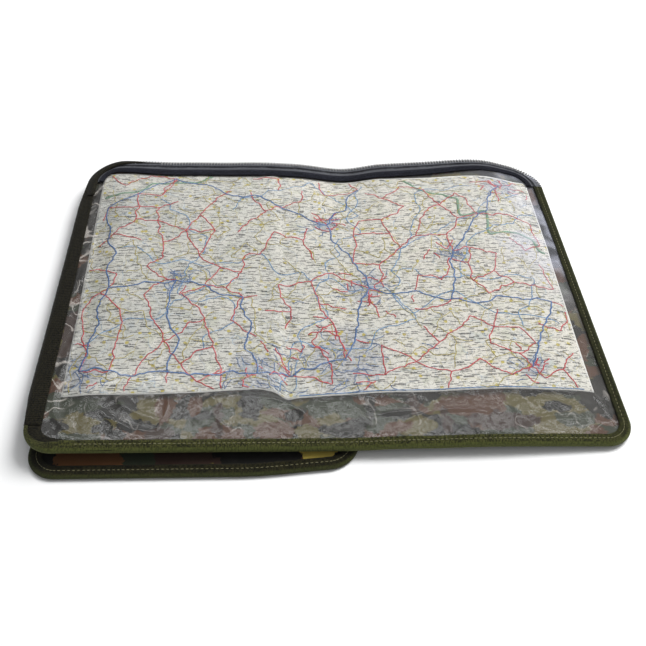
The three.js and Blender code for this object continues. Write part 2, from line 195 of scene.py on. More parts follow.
class Recipe:
    """Builds the nodes of one material or of the world step by step."""

    def __init__(self, name: str, world: bpy.types.World | None = None) -> None:
        """Starts with no nodes, in a new material or in the given world."""
        self.owner = world or bpy.data.materials.new(name)
        self.owner.use_nodes = True
        self.tree = self.owner.node_tree
        self.tree.nodes.clear()

    def node(self, kind: str, inputs: dict | None = None, **settings: object) -> bpy.types.Node:
        """Adds a node.

        Args:
            kind: Blender's name for the node type.
            inputs: values or sockets for its inputs, by name or number.
            settings: properties of the node.

        Returns:
            The node.
        """
        made = self.tree.nodes.new(kind)
        for key, value in settings.items():
            setattr(made, key, value)
        for key, value in (inputs or {}).items():
            if isinstance(value, bpy.types.NodeSocket):
                self.tree.links.new(value, made.inputs[key])
            else:
                made.inputs[key].default_value = value
        return made

    def pattern(self) -> Socket:
        """The piece's own flat coordinates, in metres."""
        return self.node("ShaderNodeUVMap").outputs[0]

    def place(self) -> Socket:
        """The place on the object, in metres."""
        return self.node("ShaderNodeTexCoord").outputs["Object"]

    def stretch(self, vector: Socket, scale: Triple, offset: float = 0.0) -> Socket:
        """Scales coordinates along each axis, and shifts them."""
        inputs = {"Vector": vector, "Scale": scale, "Location": (offset, offset, 0.0)}
        return self.node("ShaderNodeMapping", inputs).outputs[0]

    def math(self, operation: str, first: object, *others: object) -> Socket:
        """One sum on numbers, of which those left out are 0."""
        inputs = dict(enumerate((first, *others, 0.0, 0.0)[:3]))
        return self.node("ShaderNodeMath", inputs, operation=operation).outputs[0]

    def vector_math(self, operation: str, first: object, second: object) -> Socket:
        """One sum on vectors."""
        inputs = {0: first, 1: second}
        return self.node("ShaderNodeVectorMath", inputs, operation=operation).outputs[0]

    def grow(self, vector: Socket, scale: float) -> Socket:
        """Scales a vector evenly."""
        inputs = {0: vector, "Scale": scale}
        return self.node("ShaderNodeVectorMath", inputs, operation="SCALE").outputs[0]

    def distance(self, vector: Socket, centre: Pair, sides: Pair = (1.0, 1.0)) -> Socket:
        """Distance from a place on the flat piece, in the given half sizes."""
        away = self.vector_math("SUBTRACT", vector, (*centre, 0.0))
        if sides != (1.0, 1.0):
            away = self.vector_math("MULTIPLY", away, (1 / sides[0], 1 / sides[1], 0.0))
        return self.node("ShaderNodeVectorMath", {0: away}, operation="LENGTH").outputs["Value"]

    def split(self, vector: Socket) -> bpy.types.bpy_prop_collection:
        """The separate coordinates of a vector."""
        return self.node("ShaderNodeSeparateXYZ", {0: vector}).outputs

    def noise(
        self, vector: Socket, scale: float, detail: float = 2.0, roughness: float = 0.5
    ) -> Socket:
        """Cloudy noise from 0 to 1."""
        inputs = {"Vector": vector, "Scale": scale, "Detail": detail, "Roughness": roughness}
        return self.node("ShaderNodeTexNoise", inputs).outputs[0]

    def noise_colour(self, vector: Socket, scale: float, detail: float = 2.0) -> Socket:
        """Cloudy noise with three separate channels."""
        inputs = {"Vector": vector, "Scale": scale, "Detail": detail}
        return self.node("ShaderNodeTexNoise", inputs).outputs["Color"]

    def mix(self, share: object, first: object, second: object) -> Socket:
        """Blends two colours."""
        inputs = {0: share, 6: first, 7: second}
        return self.node("ShaderNodeMix", inputs, data_type="RGBA").outputs[2]

    def span(
        self, value: Socket, start: float, end: float, low: float = 0.0, high: float = 1.0
    ) -> Socket:
        """Maps a number from start..end to low..high, smoothly and clamped."""
        inputs = {"Value": value, "From Min": start, "From Max": end, "To Min": low, "To Max": high}
        made = self.node("ShaderNodeMapRange", inputs, interpolation_type="SMOOTHSTEP", clamp=True)
        return made.outputs[0]

    def ribs(self, along: Socket, pitch: float) -> Socket:
        """A row of rounded ribs, from 0 to 1, across the given coordinate."""
        wave = self.math("SINE", self.math("MULTIPLY", along, math.tau / pitch))
        return self.math("MULTIPLY_ADD", wave, 0.5, 0.5)

    def bump(self, height: Socket, distance: float, strength: float = 1.0) -> Socket:
        """A normal from a height from 0 to 1, whose full rise is distance."""
        inputs = {"Height": height, "Distance": distance, "Strength": strength}
        return self.node("ShaderNodeBump", inputs).outputs[0]

    def done(self, shader: bpy.types.Node) -> bpy.types.Material:
        """Wires the last shader to the output and hands the material over."""
        self.node("ShaderNodeOutputMaterial", {"Surface": shader.outputs[0]})
        return self.owner


Colour = tuple[float, float, float, float]


class Dye(Enum):
    """Cloth and print colours, as linear light."""

    SAND: Colour = (0.110, 0.090, 0.030, 1)
    STRAW: Colour = (0.640, 0.490, 0.105, 1)
    CLAY: Colour = (0.150, 0.066, 0.026, 1)
    LEAF: Colour = (0.034, 0.042, 0.026, 1)
    RUST: Colour = (0.088, 0.036, 0.018, 1)
    BARK: Colour = (0.044, 0.024, 0.019, 1)
    SOOT: Colour = (0.0095, 0.009, 0.0085, 1)


@dataclass(frozen=True)
class Patch:
    """One printed patch at a set place on the cloth: its middle, its half sizes and its dye."""

    x: float
    y: float
    wide: float
    deep: float
    dye: Dye


@dataclass(frozen=True)
class CamouflageCloth:
    """Printed woven cloth: sand under leaf green, rust and soot patches with brushed edges."""

    name: str = "camouflage_cloth"
    patch: float = 0.055
    flatness: float = 1.9
    offset: float = 3.7
    weave: float = 0.0011
    patches: tuple[Patch, ...] = ()

    def material(self) -> bpy.types.Material:
        """Makes the cloth's material."""
        r = Recipe(self.name)
        flat = r.pattern()
        edge = r.vector_math("SUBTRACT", r.noise_colour(flat, 190.0, 3.0), (0.5, 0.5, 0.5))
        ragged = r.vector_math("ADD", flat, r.grow(edge, 0.012))
        colour: object = Dye.SAND.value
        layers = ((Dye.LEAF, 0.47), (Dye.RUST, 0.545), (Dye.SOOT, 0.55))
        for number, (dye, share) in enumerate(layers):
            scale = (1.0 / self.patch, self.flatness / self.patch, 1.0)
            cloud = r.noise(r.stretch(ragged, scale, self.offset + 9.1 * number), 1.0, 1.2, 0.45)
            colour = r.mix(r.span(cloud, share - 0.006, share + 0.006), colour, dye.value)
        wobble = r.math("MULTIPLY_ADD", r.noise(ragged, 70.0, 1.0), 1.3, 0.35)
        for patch in self.patches:
            reach = r.distance(ragged, (patch.x, patch.y), (patch.wide, patch.deep))
            inside = r.span(r.math("DIVIDE", reach, wobble), 0.96, 1.04, 1.0, 0.0)
            colour = r.mix(inside, colour, patch.dye.value)
        axes = r.split(flat)
        weave = r.math("MULTIPLY", r.ribs(axes[0], self.weave), r.ribs(axes[1], self.weave))
        worn = r.noise(flat, 45.0, 5.0, 0.6)
        colour = r.mix(r.span(worn, 0.4, 0.75, 0.0, 0.10), colour, (0.11, 0.105, 0.085, 1))
        colour = r.mix(r.math("MULTIPLY", weave, 0.25), colour, (0.0, 0.0, 0.0, 1))
        height = r.math("ADD", weave, r.math("MULTIPLY", r.noise(flat, 900.0, 2.0), 0.6))
        shader = r.node(
            "ShaderNodeBsdfPrincipled",
            {"Base Color": colour, "Roughness": 0.86, "Normal": r.bump(height, 0.00018, 0.6)},
        )
        shader.inputs["Sheen Weight"].default_value = 0.06
        shader.inputs["Specular IOR Level"].default_value = 0.3
        return r.done(shader)


@dataclass(frozen=True)
class RibbedTape:
    """Woven tape with fine ribs across it, with, where set, a painted highlight along the fold and
    painted shade along the far part of its run.
    """

    name: str
    base: Colour
    pale: Colour
    rib: float
    along: bool = False
    rib_share: float = 0.3
    speck_share: float = 0.6
    painted_rim_highlight: Colour | None = None
    fold: float = 0.0128
    sheen: float = 0.03
    painted_shade_from: float = 10.0

    def material(self) -> bpy.types.Material:
        """Makes the tape's material."""
        r = Recipe(self.name)
        flat = r.pattern()
        axes = r.split(flat)
        ribs = r.ribs(axes[1] if self.along else axes[0], self.rib)
        slant = r.math("ADD", axes[0], axes[1])
        twill = r.ribs(slant, self.rib * 1.7)
        threads = r.noise(r.stretch(flat, (720.0, 360.0, 1.0)), 1.0, 3.0, 0.75)
        worn = r.noise(r.stretch(flat, (60.0, 160.0, 1.0)), 1.0, 4.0, 0.65)
        specks = r.span(threads, 0.42, 0.60, 0.0, self.speck_share)
        share = r.math("ADD", r.math("MULTIPLY", ribs, self.rib_share), specks)
        share = r.math("ADD", share, r.span(worn, 0.35, 0.75, 0.0, 0.35))
        colour = r.mix(r.span(share, 0.15, 1.0), self.base, self.pale)
        # Painted highlight: within a few millimetres of the fold the tape turns to the rim colour,
        # more on its paler threads.
        if self.painted_rim_highlight:
            away = r.math("ABSOLUTE", r.math("SUBTRACT", axes[1], self.fold))
            near = r.span(away, 0.0015, 0.0052, 1.0, 0.0)
            rim_highlight_share = r.math("MULTIPLY", near, r.span(threads, 0.3, 0.6, 0.35, 0.95))
            colour = r.mix(rim_highlight_share, colour, self.painted_rim_highlight)
        # Painted shade: past the set point of its run the tape fades towards its darkest colour.
        dim = r.span(axes[0], self.painted_shade_from, self.painted_shade_from + 0.06, 0.0, 0.6)
        colour = r.mix(dim, colour, self.base)
        height = r.math("ADD", ribs, r.math("MULTIPLY", twill, 0.35))
        height = r.math("ADD", height, r.math("MULTIPLY", threads, 0.5))
        shader = r.node(
            "ShaderNodeBsdfPrincipled",
            {"Base Color": colour, "Roughness": 0.8, "Normal": r.bump(height, 0.00035, 0.9)},
        )
        shader.inputs["Sheen Weight"].default_value = self.sheen
        shader.inputs["Specular IOR Level"].default_value = 0.3
        return r.done(shader)


@dataclass(frozen=True)
class ClearFilm:
    """Clear flexible film: see-through, glossy by Schlick's law and a little hazy, with painted
    highlights as pale haze along creases and in loops by the left edge, and a painted reflection as
    a pale bluish patch towards the right and back.
    """

    width: float
    name: str = "clear_film"
    straight: float = 0.052
    haze: float = 0.018

    def material(self) -> bpy.types.Material:
        """Makes the film's material."""
        r = Recipe(self.name)
        flat = r.pattern()
        axes = r.split(flat)
        sides = r.math("MINIMUM", axes[0], r.math("SUBTRACT", self.width, axes[0]))
        front = r.span(axes[1], 0.055, 0.075, 1.0, 0.12)
        margin = r.math("MAXIMUM", front, r.span(sides, 0.024, 0.036, 1.0, 0.0))
        fine = r.noise(flat, 55.0, 3.0, 0.55)
        bent = r.vector_math("ADD", flat, r.grow(r.noise_colour(flat, 26.0), 0.05))
        buckles = r.noise(bent, 38.0, 1.0, 0.4)
        waves = r.math("MULTIPLY", buckles, margin)
        normal = r.bump(r.math("MULTIPLY_ADD", waves, 2.4, r.math("MULTIPLY", fine, 0.25)), 0.0016)
        facing = r.node("ShaderNodeLayerWeight", {"Blend": 0.5, "Normal": normal}).outputs["Facing"]
        slanted = r.math("POWER", facing, 5.0)
        share = r.math("MULTIPLY_ADD", slanted, 1.0 - self.straight, self.straight)
        smears = r.noise(r.stretch(flat, (14.0, 30.0, 1.0)), 1.0, 4.0, 0.6)
        smears = r.span(smears, 0.45, 0.75, 0.022, 0.065)
        shine = {"Color": (1, 1, 1, 1), "Roughness": smears, "Normal": normal}
        gloss = r.node("ShaderNodeBsdfGlossy", shine)
        clear = r.node("ShaderNodeBsdfTransparent", {"Color": (0.965, 0.972, 0.97, 1)})
        # Painted reflection: towards the right and back the haze turns bluish and rises in a pale
        # patch of glare.
        far = r.math("MULTIPLY", r.span(axes[0], 0.43, 0.52), r.span(axes[1], 0.14, 0.27))
        painted_glare = r.span(r.noise(bent, 20.0, 1.0, 0.4), 0.43, 0.58, 0.02, 0.15)
        painted_glare = r.math("MULTIPLY", far, painted_glare)
        tint = r.mix(far, (0.86, 0.80, 0.74, 1), (0.76, 0.78, 0.92, 1))
        cloud = r.node("ShaderNodeBsdfDiffuse", {"Color": tint})
        haze_and_painted_highlights = r.span(r.noise(flat, 24.0, 4.0, 0.6), 0.3, 0.7, 0.5, 1.3)
        haze_and_painted_highlights = r.math("MULTIPLY", haze_and_painted_highlights, self.haze)
        # Painted highlights: the haze is raised along thin crease lines in the margins and, by the
        # left edge, along loops.
        ridge = r.math("ABSOLUTE", r.math("SUBTRACT", r.noise(bent, 17.0, 2.0, 0.5), 0.5))
        crease = r.math("MULTIPLY", r.span(ridge, 0.0, 0.012, 0.10, 0.0), r.span(fine, 0.40, 0.6))
        haze_and_painted_highlights = r.math("MULTIPLY_ADD", crease, margin, haze_and_painted_highlights)
        curl = r.noise(r.stretch(bent, (44.0, 30.0, 1.0), 5.0), 1.0, 1.0, 0.4)
        loops = r.span(r.math("ABSOLUTE", r.math("SUBTRACT", curl, 0.5)), 0.0, 0.035, 0.25, 0.0)
        loops = r.math("MULTIPLY", loops, r.span(axes[0], 0.027, 0.036, 1.0, 0.0))
        haze_and_painted_highlights = r.math("MULTIPLY_ADD", loops, r.span(fine, 0.38, 0.54), haze_and_painted_highlights)
        haze_and_painted_highlights = r.math("ADD", haze_and_painted_highlights, painted_glare)
        hazy = r.node("ShaderNodeMixShader", {0: haze_and_painted_highlights, 1: clear.outputs[0], 2: cloud.outputs[0]})
        film = {0: share, 1: hazy.outputs[0], 2: gloss.outputs[0]}
        return r.done(r.node("ShaderNodeMixShader", film))


@dataclass(frozen=True)
class PrintedPaper:
    """Map paper with fine print, name bars, lanes and villages, inside a bare margin."""

    width: float
    depth: float
    name: str = "map_paper"
    margin: float = 0.0012
    built_up: tuple[Triple, ...] = ()

    def bars(self, r: Recipe, flat: Socket, cell: Pair, half: Pair) -> Socket:
        """Short bars of broken strokes in scattered places, in place of names.

        Args:
            r: the recipe to add to.
            flat: coordinates on the paper.
            cell: mean spacing of the bars across and along.
            half: largest half length and the half height of a bar.

        Returns:
            1 on a stroke and 0 elsewhere.
        """
        scaled = r.stretch(flat, (1 / cell[0], 1 / cell[1], 0.0))
        cells = r.node(
            "ShaderNodeTexVoronoi",
            {"Vector": scaled, "Scale": 1.0, "Randomness": 1.0},
            voronoi_dimensions="2D",
        )
        gap = r.split(r.vector_math("SUBTRACT", scaled, cells.outputs["Position"]))
        chance = r.node("ShaderNodeSeparateColor", {0: cells.outputs["Color"]}).outputs
        across = r.math("MULTIPLY", r.math("ABSOLUTE", gap[0]), cell[0])
        along = r.math("MULTIPLY", r.math("ABSOLUTE", gap[1]), cell[1])
        reach = r.math("MULTIPLY_ADD", chance[0], half[0] * 0.65, half[0] * 0.35)
        short, low = r.math("LESS_THAN", across, reach), r.math("LESS_THAN", along, half[1])
        inside = r.math("MULTIPLY", short, low)
        strokes = r.noise(r.stretch(flat, (0.9 / half[1], 0.35 / half[1], 0.0)), 1.0, 1.0)
        return r.math("MULTIPLY", inside, r.span(strokes, 0.30, 0.46))

    def lanes(self, r: Recipe, flat: Socket, cell: float, half: float, seed: float) -> Socket:
        """A net of winding lines.

        Args:
            r: the recipe to add to.
            flat: coordinates on the paper.
            cell: mean spacing of the crossings.
            half: half width of a line.
            seed: shift that sets one net apart from another.

        Returns:
            1 on a line and 0 elsewhere.
        """
        drift = r.noise_colour(r.stretch(flat, (1, 1, 0), seed), 1.6 / cell)
        bend = r.vector_math("SUBTRACT", drift, (0.5, 0.5, 0.5))
        bent = r.vector_math("ADD", flat, r.grow(bend, cell * 0.9))
        cells = r.node(
            "ShaderNodeTexVoronoi",
            {"Vector": r.stretch(bent, (1, 1, 0), seed), "Scale": 1 / cell},
            voronoi_dimensions="2D",
            feature="DISTANCE_TO_EDGE",
        )
        return r.span(cells.outputs["Distance"], half / cell, 1.6 * half / cell, 1.0, 0.0)

    def spots(self, r: Recipe, flat: Socket, cell: float, radius: float, share: float) -> Socket:
        """Scattered round spots, for the share of the cells that have one."""
        wavy = r.vector_math("ADD", flat, r.grow(r.noise_colour(flat, 900.0), 0.0014))
        cells = r.node(
            "ShaderNodeTexVoronoi",
            {"Vector": r.stretch(wavy, (1, 1, 0)), "Scale": 1 / cell},
            voronoi_dimensions="2D",
        )
        near = r.math("LESS_THAN", cells.outputs["Distance"], radius / cell)
        chance = r.node("ShaderNodeSeparateColor", {0: cells.outputs["Color"]}).outputs[1]
        return r.math("MULTIPLY", near, r.math("LESS_THAN", chance, share))

    def material(self) -> bpy.types.Material:
        """Makes the paper's material."""
        r = Recipe(self.name)
        flat = r.pattern()
        axes = r.split(flat)
        tint = r.noise(flat, 13.0, 3.0, 0.55)
        colour = r.mix(r.span(tint, 0.3, 0.7), (0.70, 0.665, 0.605, 1), (0.75, 0.70, 0.63, 1))
        relief = r.noise(r.stretch(flat, (1, 1, 0), 7.0), 17.0, 5.0, 0.65)
        # Painted shade: the paper is greyed in noisy patches, most at the left edge and less
        # towards the right; the noise above shapes these patches and the town edges below.
        west = r.span(axes[0], 0.04, 0.36, 0.62, 0.12)
        painted_left_shade = r.math("MULTIPLY", west, r.span(relief, 0.35, 0.68, 0.35, 1.0))
        colour = r.mix(painted_left_shade, colour, (0.40, 0.42, 0.42, 1))
        wood = r.noise(r.stretch(flat, (1, 1, 0), 5.0), 48.0, 3.0, 0.6)
        colour = r.mix(r.span(wood, 0.56, 0.62, 0.0, 0.4), colour, (0.50, 0.50, 0.38, 1))
        marsh = r.noise(r.stretch(flat, (1, 1, 0), 2.0), 20.0, 4.0, 0.7)
        colour = r.mix(r.span(marsh, 0.6, 0.66, 0.0, 0.35), colour, (0.43, 0.50, 0.56, 1))
        blocks = r.noise(flat, 420.0, 2.0, 0.6)
        for x, y, radius in self.built_up:
            reach = r.distance(flat, (x, y))
            ragged = r.math("MULTIPLY_ADD", relief, 1.5 * radius, -0.75 * radius)
            haze = r.span(r.math("ADD", reach, ragged), 0.45 * radius, radius, 0.7, 0.0)
            haze = r.math("MULTIPLY", haze, r.span(blocks, 0.35, 0.6, 0.25, 0.85))
            colour = r.mix(haze, colour, (0.22, 0.25, 0.36, 1))
        lanes = r.math("MULTIPLY", self.lanes(r, flat, 0.0095, 0.00026, 0.0), 0.5)
        colour = r.mix(lanes, colour, (0.20, 0.19, 0.15, 1))
        some = r.span(r.noise(flat, 30.0, 1.0), 0.46, 0.52)
        ochre = r.math("MULTIPLY", self.lanes(r, flat, 0.027, 0.0003, 0.31), some)
        colour = r.mix(r.math("MULTIPLY", ochre, 0.75), colour, (0.47, 0.40, 0.16, 1))
        stream = r.math("MULTIPLY", self.lanes(r, flat, 0.041, 0.00022, 0.77), 0.6)
        colour = r.mix(stream, colour, (0.24, 0.36, 0.52, 1))
        villages = r.math("MULTIPLY", self.spots(r, flat, 0.0150, 0.0019, 0.40), 0.9)
        colour = r.mix(villages, colour, (0.50, 0.40, 0.06, 1))
        ink = (0.045, 0.045, 0.05, 1)
        small = self.bars(r, flat, (0.0130, 0.0046), (0.0050, 0.00052))
        colour = r.mix(r.math("MULTIPLY", small, 0.92), colour, ink)
        tiny = self.bars(r, r.stretch(flat, (1, 1, 0), 0.3), (0.0085, 0.0034), (0.0030, 0.00038))
        colour = r.mix(r.math("MULTIPLY", tiny, 0.7), colour, ink)
        large = self.bars(r, r.stretch(flat, (1, 1, 0), 0.5), (0.036, 0.023), (0.0062, 0.00090))
        colour = r.mix(r.math("MULTIPLY", large, 0.92), colour, ink)
        sides = [
            r.math("SUBTRACT", axes[0], self.margin),
            r.math("SUBTRACT", self.width - self.margin, axes[0]),
            r.math("SUBTRACT", axes[1], self.margin),
            r.math("SUBTRACT", self.depth - self.margin, axes[1]),
        ]
        across, along = (r.math("MINIMUM", *pair) for pair in (sides[:2], sides[2:]))
        inner = r.math("MINIMUM", across, along)
        colour = r.mix(r.math("GREATER_THAN", inner, 0.0), (0.80, 0.78, 0.75, 1), colour)
        fibre = r.noise(flat, 2600.0, 3.0)
        shader = r.node(
            "ShaderNodeBsdfPrincipled",
            {"Base Color": colour, "Roughness": 0.72, "Normal": r.bump(fibre, 0.00006, 0.5)},
        )
        shader.inputs["Specular IOR Level"].default_value = 0.35
        return r.done(shader)


@dataclass(frozen=True)
class PrintInk:
    """Printed line that breaks up a little, so that the paper shows through."""

    name: str
    colour: Colour
    grain: float = 520.0

    def material(self) -> bpy.types.Material:
        """Makes the ink's material."""
        r = Recipe(self.name)
        flat = r.pattern()
        pale = tuple(min(1.0, part * 1.2 + 0.05) for part in self.colour[:3]) + (1,)
        tone = r.mix(r.span(r.noise(flat, 70.0, 2.0), 0.35, 0.65), self.colour, pale)
        ink = r.node("ShaderNodeBsdfPrincipled", {"Base Color": tone, "Roughness": 0.75})
        ink.inputs["Specular IOR Level"].default_value = 0.3
        clear = r.node("ShaderNodeBsdfTransparent", {"Color": (1, 1, 1, 1)})
        share = r.span(r.noise(flat, self.grain, 2.0, 0.6), 0.36, 0.52, 0.35, 0.95)
        line = {0: share, 1: clear.outputs[0], 2: ink.outputs[0]}
        return r.done(r.node("ShaderNodeMixShader", line))


@dataclass(frozen=True)
class PlainFinish:
    """A dull or satin finish with a mottled colour and a fine grain."""

    name: str
    base: Colour
    pale: Colour
    roughness: float
    grain: float
    relief: float
    metallic: float = 0.0

    def material(self) -> bpy.types.Material:
        """Makes the finish's material."""
        r = Recipe(self.name)
        place = r.place()
        cloud = r.noise(place, self.grain, 4.0, 0.6)
        colour = r.mix(r.span(cloud, 0.35, 0.7), self.base, self.pale)
        rough = r.span(cloud, 0.3, 0.7, self.roughness * 0.88, min(self.roughness * 1.1, 1.0))
        normal = r.bump(r.noise(place, 5 * self.grain), self.relief)
        shader = r.node(
            "ShaderNodeBsdfPrincipled",
            {"Base Color": colour, "Roughness": rough, "Normal": normal},
        )
        shader.inputs["Metallic"].default_value = self.metallic
        return r.done(shader)


@dataclass(frozen=True)
class ArchRow:
    """Height of the pocket leaf across one place, as shares of the arch height."""

    across: float
    front: float
    middle: float
    zip_side: float


@dataclass(frozen=True)
class Sag:
    """A soft local rise or dip of the leaf."""

    x: float
    y: float
    wide: float
    deep: float
    rise: float

    def at(self, x: float, y: float) -> float:
        """The rise at a place."""
        away = ((x - self.x) / self.wide) ** 2 + ((y - self.y) / self.deep) ** 2
        return self.rise * math.exp(-away) if away < 9 else 0.0


@dataclass(frozen=True)
class Corner:
    """A rounded corner, turned anticlockwise from its first outward normal in quarter turns."""

    x: float
    y: float
    radius: float
    turn: int


@dataclass(frozen=True)
class Station:
    """A place on an outline with its outward normal and the length of edge run so far."""

    x: float
    y: float
    out: Vector
    run: float

    def inward(self, inset: float) -> tuple[float, float]:
        """The place that far in from the edge."""
        return self.x - self.out.x * inset, self.y - self.out.y * inset


def outline_run(
    corners: Sequence[Corner],
    step: float,
    head: tuple[float, float] | None = None,
    tail: tuple[float, float] | None = None,
) -> list[Station]:
    """Walks an outline through rounded corners.

    Args:
        corners: the corners in order.
        step: length between stations.
        head: a first point on the side before the first corner.
        tail: a last point on the side after the last corner.

    Returns:
        The stations.
    """
    points: list[tuple[Vector, Vector]] = []
    for corner in corners:
        bends = max(6, round(corner.radius * math.pi / 2 / step))
        for bend in range(bends + 1):
            angle = (corner.turn + bend / bends) * math.pi / 2
            out = Vector((math.cos(angle), math.sin(angle)))
            points.append((Vector((corner.x, corner.y)) + corner.radius * out, out))
    if head:
        points.insert(0, (Vector(head), points[0][1]))
    if tail:
        points.append((Vector(tail), points[-1][1]))
    stations: list[Station] = []
    run = 0.0
    for (here, out), (there, _) in zip(points, points[1:]):
        gap = (there - here).length
        parts = max(1, round(gap / step))
        for part in range(parts):
            spot = here.lerp(there, part / parts)
            stations.append(Station(spot.x, spot.y, out, run + gap * part / parts))
        run += gap
    end, out = points[-1]
    return [*stations, Station(end.x, end.y, out, run)]


@dataclass
class PocketLeaf:
    """The lie of the upper leaf: its outline, and its height over the table."""

    width: float = 0.560
    depth: float = 0.428
    front_corner: float = 0.028
    zip_corner: float = 0.040
    seat: float = 0.00135
    over_cover: float = 0.00465
    cover_edge: float = 0.3094
    step_down: float = 0.070
    arch_height: float = 0.018
    squeeze_zone: float = 0.046
    sheet_front: float = 0.00135
    sheet_back: float = 0.01365
    spine_margin: float = 0.02335
    tape_margin: float = 0.01285
    shoulder: float = 0.032
    tape_gap: float = 0.00045
    arches: tuple[ArchRow, ...] = (
        ArchRow(0.0, 0.57, 0.41, 0.57),
        ArchRow(0.09, 0.46, 0.57, 0.9),
        ArchRow(0.19, 0.35, 0.57, 0.68),
        ArchRow(0.34, 0.21, 0.46, 0.63),
        ArchRow(0.45, 0.1, 0.24, 0.41),
        ArchRow(0.55, 0.04, 0.05, 0.05),
        ArchRow(0.64, 0.28, 0.28, 0.55),
        ArchRow(0.74, 0.34, 0.37, 0.73),
        ArchRow(0.86, 0.21, 0.32, 0.88),
        ArchRow(0.94, 0.09, 0.12, 0.46),
        ArchRow(1.0, 0.0, 0.0, 0.0),
    )
    sags: tuple[Sag, ...] = (
        Sag(0.322, 0.425, 0.030, 0.10, -0.0022),
        Sag(0.532, 0.425, 0.034, 0.08, -0.0040),
        Sag(0.055, 0.425, 0.040, 0.06, -0.0022),
        Sag(0.168, 0.425, 0.030, 0.05, -0.0012),
    )
    samples: int = 560
    corner: Vector = field(init=False)
    rows: list[Triple] = field(init=False)

    def __post_init__(self) -> None:
        """Finds the leaf's front left corner in the frame and reads the arches at even steps."""
        low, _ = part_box("pocket_binding")
        self.corner = Vector((low[0], low[1], 0.0))
        tables = [
            [(row.across, row.front) for row in self.arches],
            [(row.across, row.middle) for row in self.arches],
            [(row.across, row.zip_side) for row in self.arches],
        ]
        shares = [step / self.samples for step in range(self.samples + 1)]
        self.rows = [tuple(through(table, share) for table in tables) for share in shares]

    def height(self, x: float, y: float) -> float:
        """Height of the underside of the leaf's cloth over the table."""
        across = min(max(x / self.width, 0.0), 1.0) * self.samples
        along = min(max(y / self.depth, 0.0), 1.0)
        index = min(int(across), self.samples - 1)
        part = across - index
        front, middle, back = (
            low + (high - low) * part for low, high in zip(self.rows[index], self.rows[index + 1])
        )
        arch = front * (1 - along) * (1 - 2 * along)
        arch += middle * 4 * along * (1 - along) + back * along * (2 * along - 1)
        step = smooth(x, self.cover_edge, self.cover_edge + self.step_down)
        local = sum(sag.at(x, y) for sag in self.sags)
        return self.seat + max(self.over_cover * (1 - step) + arch * self.arch_height + local, 0.0)

    def place(self, x: float, y: float, lift: float) -> Vector:
        """The point in the frame at a place on the leaf, lifted off the cloth's underside."""
        return self.corner + Vector((x, y, self.height(x, y) + lift))

    def edge_inset(self, y: float, shrink: float) -> float:
        """How far the rounded corners draw the sides in at y, for an outline set in by shrink."""
        if y < self.front_corner:
            radius, rise = self.front_corner, self.front_corner - y
        elif y > self.depth - self.zip_corner:
            radius, rise = self.zip_corner, y - self.depth + self.zip_corner
        else:
            return shrink
        arc = radius - shrink
        return max(shrink, radius - math.sqrt(max(arc * arc - rise * rise, 0.0)))

    def draw_in(self, x: float, y: float, shrink: float) -> float:
        """Moves x inside the rounded outline, only near the sides."""
        inset = self.edge_inset(y, shrink)
        if x < self.squeeze_zone:
            return inset + x / self.squeeze_zone * (self.squeeze_zone - inset)
        if x > self.width - self.squeeze_zone:
            squeezed = (self.width - x) / self.squeeze_zone * (self.squeeze_zone - inset)
            return self.width - inset - squeezed
        return x

    def swell(self, x: float, y: float) -> float:
        """0 on the flat margins under the tapes, 1 over the stuffed middle of the pocket."""
        sides = (
            x - self.spine_margin,
            self.width - self.tape_margin - x,
            y - self.tape_margin,
            self.depth - self.zip_corner - y,
        )
        return math.prod(smooth(side, 0.0, self.shoulder) for side in sides)

    def front_run(self, step: float) -> list[Station]:
        """Stations from the spine's front end round the front and up the right edge to the zip."""
        r = self.front_corner
        corners = [Corner(r, r, r, 2), Corner(self.width - r, r, r, 3)]
        end = self.depth - self.zip_corner - self.tape_gap
        return outline_run(corners, step, tail=(self.width, end))

    def zip_run(self, step: float) -> list[Station]:
        """Stations from the right edge round the back edge to the left edge."""
        r = self.zip_corner
        corners = [Corner(self.width - r, self.depth - r, r, 0), Corner(r, self.depth - r, r, 1)]
        return outline_run(corners, step)


Lift = Callable[[float, float, float], Vector]


def edge_strip(
    stations: Sequence[Station],
    section: Sequence[Pair],
    lift: Lift,
    pucker: Callable[[Station, float, int], float] | None = None,
    narrow: Callable[[float], float] | None = None,
    root: float = 0.0,
) -> bmesh.types.BMesh:
    """Sweeps an open section along an outline.

    Args:
        stations: places along the edge.
        section: pairs of inset from the edge and height.
        lift: gives the point in the frame for x, y and height.
        pucker: extra height for a station, an inset and a number in the section.
        narrow: share of the inset past the root that is kept at a share of the run.
        root: inset up to which the strip keeps its width.

    Returns:
        The strip, whose flat coordinates are the run and the width of the tape.
    """
    widths = [0.0]
    for (inset, height), (next_inset, next_height) in zip(section, section[1:]):
        widths.append(widths[-1] + math.hypot(next_inset - inset, next_height - height))

    def place(column: int, row: int) -> tuple[Vector, Vector]:
        """The point of one station and section number."""
        station, (inset, height) = stations[column], section[row]
        if narrow:
            inset = root + (inset - root) * narrow(station.run / stations[-1].run)
        x, y = station.inward(inset)
        extra = pucker(station, inset, row) if pucker else 0.0
        return lift(x, y, height + extra), Vector((station.run, widths[row], 0.0))

    bm = bmesh.new()
    warp_grid(bm, len(stations) - 1, len(section) - 1, place)
    return bm


TAPE = 0.0009
TAPE_BULGE = 0.0030


